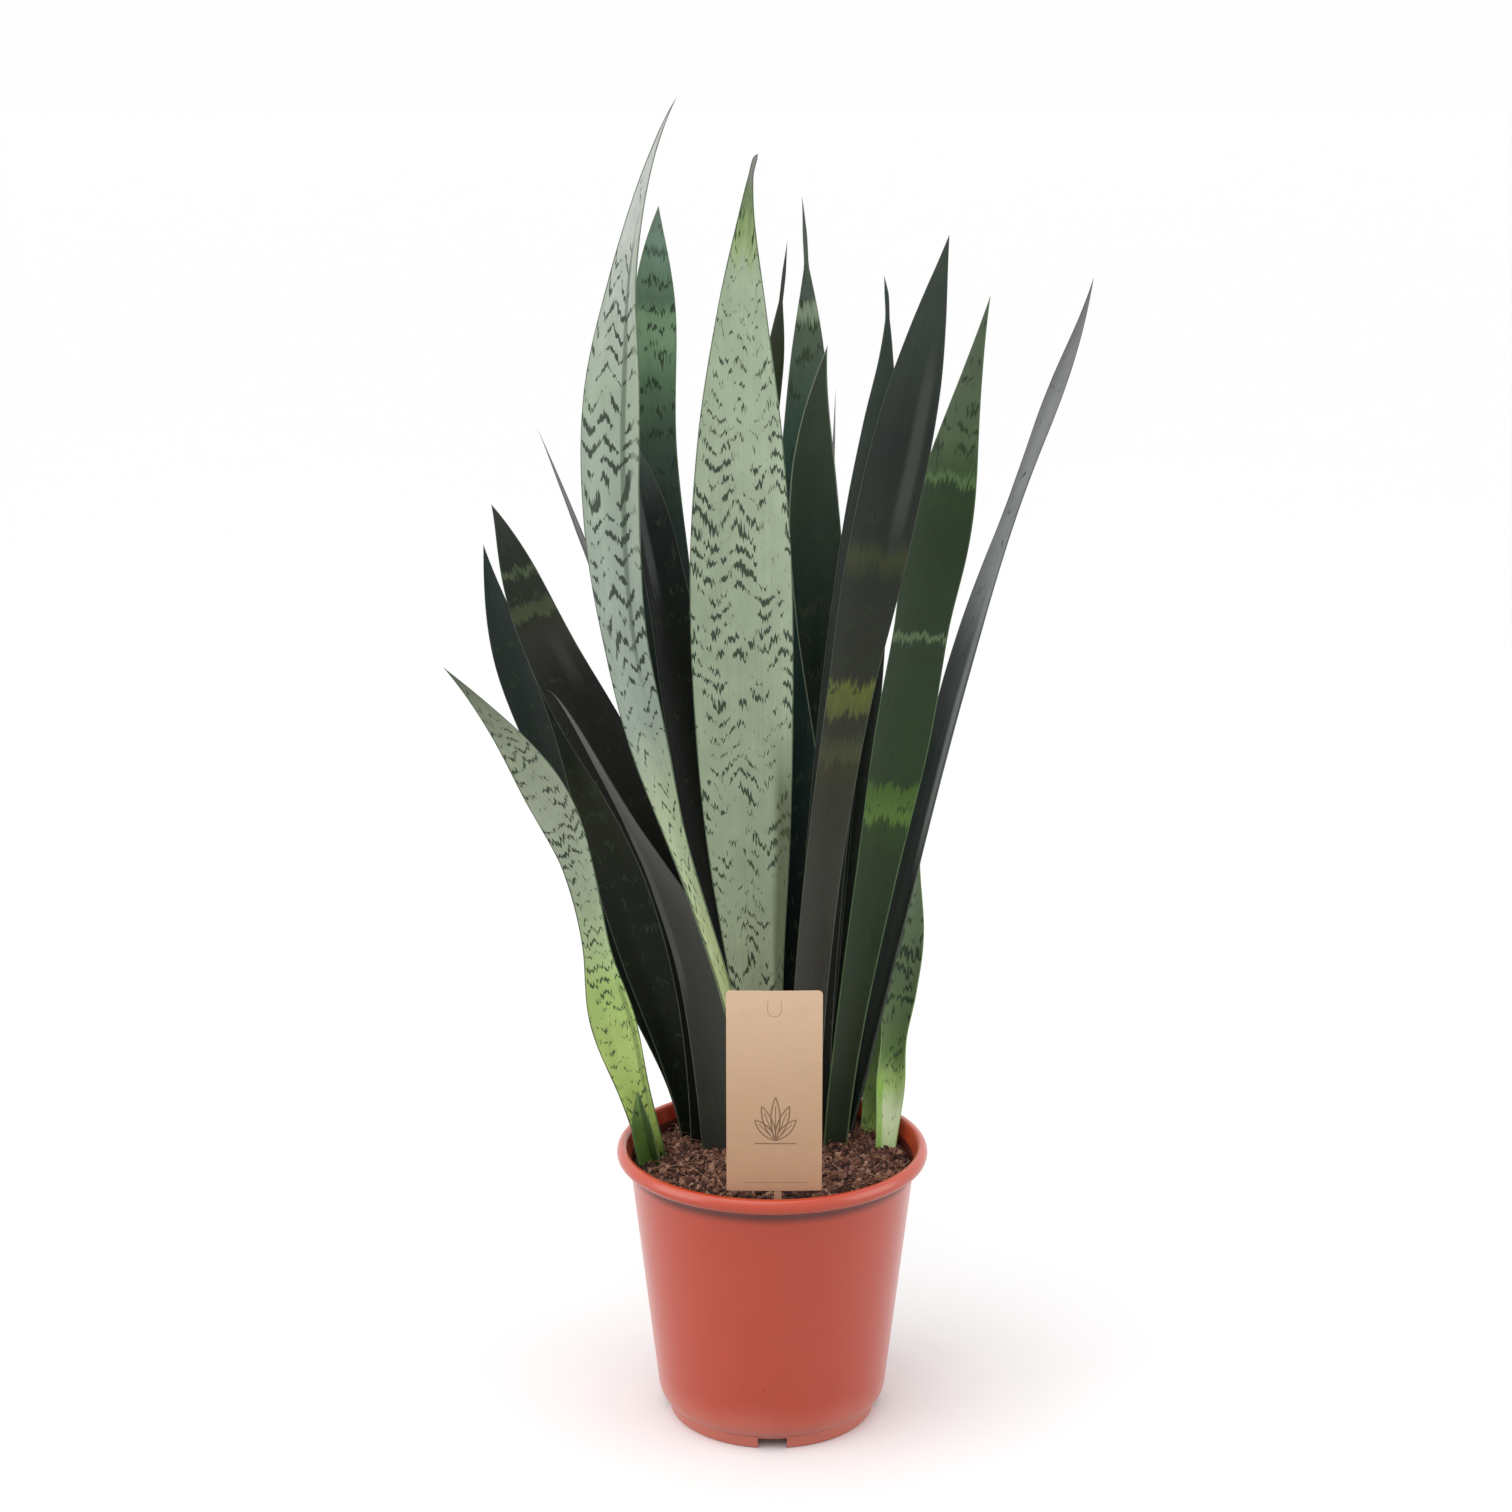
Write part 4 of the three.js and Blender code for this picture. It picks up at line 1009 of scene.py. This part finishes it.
def coir():
    """Brown coir: each crumb and fibre has its own tone, over a fine uneven grain."""
    material, tree, shader = new_material("coir", Specular_IOR_Level=0.2)
    spot = put(tree, "ShaderNodeTexCoord", None, "Object")
    tone = put(tree, "ShaderNodeAttribute", None, "Fac", attribute_name="tone")
    grain = use(tree, MOTTLE, "Speckle", Place=spot, Patch=0.012, Grain=0.0007, Seed=1.0)
    crumb = stops(tone, (
        (0, srgb(56, 36, 32)), (0.3, srgb(92, 62, 54)), (0.7, srgb(132, 92, 78)), (1, srgb(184, 144, 120))))
    fibre = stops(tone - 2.0, ((0, srgb(120, 76, 54)), (0.7, srgb(160, 112, 82)), (1, srgb(196, 156, 122))))
    color = tinted(ease(tone, 1.4, 1.6), crumb, fibre)
    shade = 0.6 + 0.7 * grain
    color = tinted(1.0, color, triple(shade, shade, shade), "MULTIPLY")
    roughness = 0.8 + (grain - 0.5) * 0.2
    finish_material(tree, shader, color, roughness, grain, 0.0006, 0.8)
    return material


soil = grown("coir_soil", soil_mesh(), make_coir(), Seed=4, Mix=coir())
place(soil, "soil", "soil")


# ---------------------------------------------------------------- card tag
CARD = dict(left=-24.7, right=26, low=157.5, high=269.5, thick=0.8, corner=2.5, front=-70.4)
TONGUE = dict(x=2.6, wide=4, thick=0.8, behind=0.7, top=166, low=128)


def slab(rows, front, back, bow):
    """A closed sheet from rows of (height, left, right), with `bow` added to its depth."""
    columns = 24
    points, faces = [], []
    for depth in (front, back):
        for z, left, right in rows:
            for c in range(columns + 1):
                x = left + (right - left) * c / columns
                points.append((x * MM, (depth + bow(x, z)) * MM, z * MM))
    wide, sheet = columns + 1, (columns + 1) * len(rows)
    for r in range(len(rows) - 1):
        for c in range(columns):
            a, b = r * wide + c, r * wide + c + 1
            faces.append((a, b, b + wide, a + wide))
            faces.append((a + sheet, a + wide + sheet, b + wide + sheet, b + sheet))
    rim = list(range(wide))
    rim += [r * wide + columns for r in range(1, len(rows))]
    rim += [(len(rows) - 1) * wide + c for c in range(columns - 1, -1, -1)]
    rim += [r * wide for r in range(len(rows) - 2, 0, -1)]
    for a, b in zip(rim, rim[1:] + rim[:1]):
        faces.append((a, a + sheet, b + sheet, b))
    return points, faces


def tag_mesh():
    """The card with two rounded upper corners and a gentle bow, and the tongue it stands on."""
    count, rows = 56, []
    for i in range(count + 1):
        z = between((CARD["low"], CARD["high"]), i / count)
        rows.append((z, CARD["left"], CARD["right"]))
    top = CARD["high"] - CARD["corner"]
    rows = [row for row in rows if row[0] < top - 0.5]
    for i in range(13):
        turn = math.pi / 2 * i / 12
        inset = CARD["corner"] * (1 - math.cos(turn))
        rows.append((top + CARD["corner"] * math.sin(turn), CARD["left"] + inset, CARD["right"] - inset))
    middle = (CARD["left"] + CARD["right"]) / 2

    def bow(x, z):
        return 0.0011 * (x - middle) ** 2 + 0.35 * math.sin(z / 21)

    points, faces = slab(rows, CARD["front"], CARD["front"] + CARD["thick"], bow)
    half = TONGUE["wide"] / 2
    strip = [(TONGUE["low"] + 2 * i, TONGUE["x"] - half, TONGUE["x"] + half)
             for i in range(int((TONGUE["top"] - TONGUE["low"]) / 2) + 1)]
    near = CARD["front"] + TONGUE["behind"]
    more, more_faces = slab(strip, near, near + TONGUE["thick"], lambda x, z: 0.0)
    faces += [tuple(i + len(points) for i in face) for face in more_faces]
    mesh = bare_mesh("tag", points + more, faces)
    outward(mesh)
    return mesh


def make_drawn_leaf():
    """The outline and midrib of one small drawn leaf, as ink on a flat sheet."""
    tree, have, exit_node = group(
        "drawn_leaf", "ShaderNodeTree",
        {
            "X": ("float", 0.0), "Z": ("float", 0.0), "Turn": ("float", 0.0), "Length": ("float", 0.016),
            "Width": ("float", 0.003), "Line": ("float", 0.0004),
        },
        {"Ink": "float"},
    )
    sine, cosine = calc("SINE", have["Turn"]), calc("COSINE", have["Turn"])
    up = have["X"] * sine + have["Z"] * cosine
    out = calc("ABSOLUTE", have["X"] * cosine - have["Z"] * sine)
    u = up / have["Length"]
    bulge = have["Width"] * 4 * u * (1 - u)
    inside = calc("MULTIPLY", calc("GREATER_THAN", u, 0.0), calc("LESS_THAN", u, 1.0))
    outline_ink = 1 - ease(calc("ABSOLUTE", out - bulge), have["Line"] * 0.5, have["Line"])
    rib_ink = (1 - ease(out, have["Line"] * 0.3, have["Line"] * 0.7)) * calc("LESS_THAN", u, 0.8)
    return settle(tree, exit_node, Ink=inside * calc("MAXIMUM", outline_ink, rib_ink))


def card_stock():
    """Unbleached card: warm fibre flecks, painted light that makes it paler towards the top, with a plain
    drawn sprig in thin ink.
    """
    material, tree, shader = new_material("card_stock", Specular_IOR_Level=0.3)
    drawn = make_drawn_leaf()
    spot = put(tree, "ShaderNodeTexCoord", None, "Object")
    x, _, z = parts_of(spot)
    flecks = use(tree, MOTTLE, "Patches", Place=spot, Patch=0.01, Grain=0.0005, Seed=6.0)
    streaks = use(tree, VEINS, Along=x, Across=z, Spacing=0.0009, Seed=2.0)
    # painted light: the card grows paler towards its top
    color = stops((z - 0.158) / 0.11, (
        (0, srgb(196, 154, 122)), (0.4, srgb(210, 172, 138)), (1, srgb(236, 200, 168))))
    shade = 0.9 + 0.1 * flecks + 0.1 * streaks
    color = tinted(1.0, color, triple(shade, shade, shade), "MULTIPLY")
    color = tinted(ease(flecks.out("Speckle"), 0.66, 0.74) * 0.35, color, srgb(150, 110, 80))
    middle, foot = 0.0013, 0.186
    ink = None
    for turn, size in ((-0.75, 0.85), (-0.36, 1.1), (0.0, 1.3), (0.36, 1.1), (0.75, 0.85)):
        one = use(
            tree, drawn, X=x - middle, Z=z - foot, Turn=turn, Length=0.019 * size, Width=0.0024,
            Line=0.0005)
        ink = one if ink is None else calc("MAXIMUM", ink, one)
    base_line = (1 - ease(calc("ABSOLUTE", z - foot + 0.0016), 0.0002, 0.0005)) * calc(
        "LESS_THAN", calc("ABSOLUTE", x - middle), 0.011)
    foot_line = (1 - ease(calc("ABSOLUTE", z - 0.1622), 0.0002, 0.0005)) * calc(
        "LESS_THAN", calc("ABSOLUTE", x - middle), 0.017) * 0.4
    hook_x, hook_z, hook_r = middle - 0.0006, CARD["high"] * MM - 0.0105, 0.0036
    x_off, z_off = calc("ABSOLUTE", x - hook_x), calc("MINIMUM", z - hook_z, 0.0)
    hook = calc("ABSOLUTE", calc("SQRT", x_off * x_off + z_off * z_off) - hook_r)
    hook = (1 - ease(hook, 0.00015, 0.0004)) * calc("LESS_THAN", z, hook_z + 0.005) * 0.5
    _, facing, _ = parts_of(put(tree, "ShaderNodeTexCoord", None, "Normal"))
    on_front = calc("LESS_THAN", facing, -0.5)
    ink = calc("MAXIMUM", calc("MAXIMUM", calc("MAXIMUM", ink, base_line), foot_line), hook) * on_front
    worn = 0.55 + 0.5 * flecks
    color = tinted(ink * worn * 0.85, color, srgb(74, 56, 42))
    roughness, height = 0.62 + (flecks - 0.5) * 0.2, flecks.out("Speckle") + streaks * 0.5
    finish_material(tree, shader, color, roughness, height, 0.0002, 0.4)
    return material


tag = bpy.data.objects.new("tag_card", tag_mesh())
bpy.context.scene.collection.objects.link(tag)
tag.data.materials.append(card_stock())
place(tag, "plant_tag", "plant_tag")


# ---------------------------------------------------------------- stage, light and camera
FLOOR_GLOSS = 0.95  # how bright the floor is in reflections
FLOOR_BOUNCE = 0.3  # what the floor sends back on to the object, as from a small sheet of paper


def pale_floor():
    material, tree, shader = new_material("pale_floor", Specular_IOR_Level=0.1)
    spot = put(tree, "ShaderNodeTexCoord", None, "Object")
    soft = use(tree, MOTTLE, "Patches", Place=spot, Patch=0.4, Grain=0.002, Seed=3.0)
    pale = tinted(soft, (0.945, 0.945, 0.945), (0.955, 0.955, 0.955))
    paths = put(tree, "ShaderNodeLightPath", None, "Is Camera Ray")
    color = tinted(paths.out("Is Glossy Ray"), (FLOOR_BOUNCE,) * 3, (FLOOR_GLOSS,) * 3)
    color = tinted(paths, color, pale)
    finish_material(tree, shader, color, 0.8 + (soft - 0.5) * 0.1, soft, 0.0001, 0.1)
    return material


FLOOR_R, FLOOR_SIDES = 40.0, 64
turns = [2 * math.pi * i / FLOOR_SIDES for i in range(FLOOR_SIDES)]
ring = [(FLOOR_R * math.cos(turn), FLOOR_R * math.sin(turn), 0) for turn in turns]
floor = bpy.data.objects.new("floor", bare_mesh("floor", ring, [tuple(range(FLOOR_SIDES))]))
bpy.context.scene.collection.objects.link(floor)
floor.data.materials.append(pale_floor())


def lamp(name, where, target, size, power):
    """A large square soft light at `where`, facing `target`."""
    light = bpy.data.lights.new(name, "AREA")
    light.size, light.energy = size, power
    holder = bpy.data.objects.new(name, light)
    holder.location = where
    holder.rotation_mode = "QUATERNION"
    holder.rotation_quaternion = (Vector(target) - Vector(where)).to_track_quat("-Z", "Y")
    bpy.context.scene.collection.objects.link(holder)


lamp("left_panel", (-1.5, -0.5, 0.5), (0, 0, 0.2), 1.2, 9)
lamp("right_panel", (1.5, -0.4, 0.5), (0, 0, 0.2), 1.2, 8)

sun = bpy.data.lights.new("overhead_soft", "SUN")
sun.energy, sun.angle = 1.15, math.radians(65)
sun_holder = bpy.data.objects.new("overhead_soft", sun)
sun_holder.rotation_mode = "QUATERNION"
SUN_WAY = Vector((0.26, 0.3, -0.92))
sun_holder.rotation_quaternion = SUN_WAY.to_track_quat("-Z", "Y")
bpy.context.scene.collection.objects.link(sun_holder)

world = bpy.data.worlds.new("studio")
world.use_nodes = True
sky = world.node_tree
backdrop = sky.nodes["Background"]
paths = put(sky, "ShaderNodeLightPath", None, "Is Camera Ray")
bright = tinted(paths.out("Is Glossy Ray"), (0.7, 0.7, 0.7), (1.2, 1.2, 1.2))
bright = tinted(paths, bright, (0.985, 0.985, 0.985))
sky.links.new(bright.socket, backdrop.inputs["Color"])
bpy.context.scene.world = world
bpy.context.scene.view_settings.view_transform = "Standard"

camera = bpy.data.objects.new("camera", bpy.data.cameras.new("camera"))
camera.data.sensor_width, camera.data.lens = 36, 66.667
camera.location = (-0.009, -1.461, 0.743)
camera.rotation_euler = (math.radians(76), 0, 0)
bpy.context.scene.collection.objects.link(camera)
bpy.context.scene.camera = camera

bpy.context.view_layer.update()
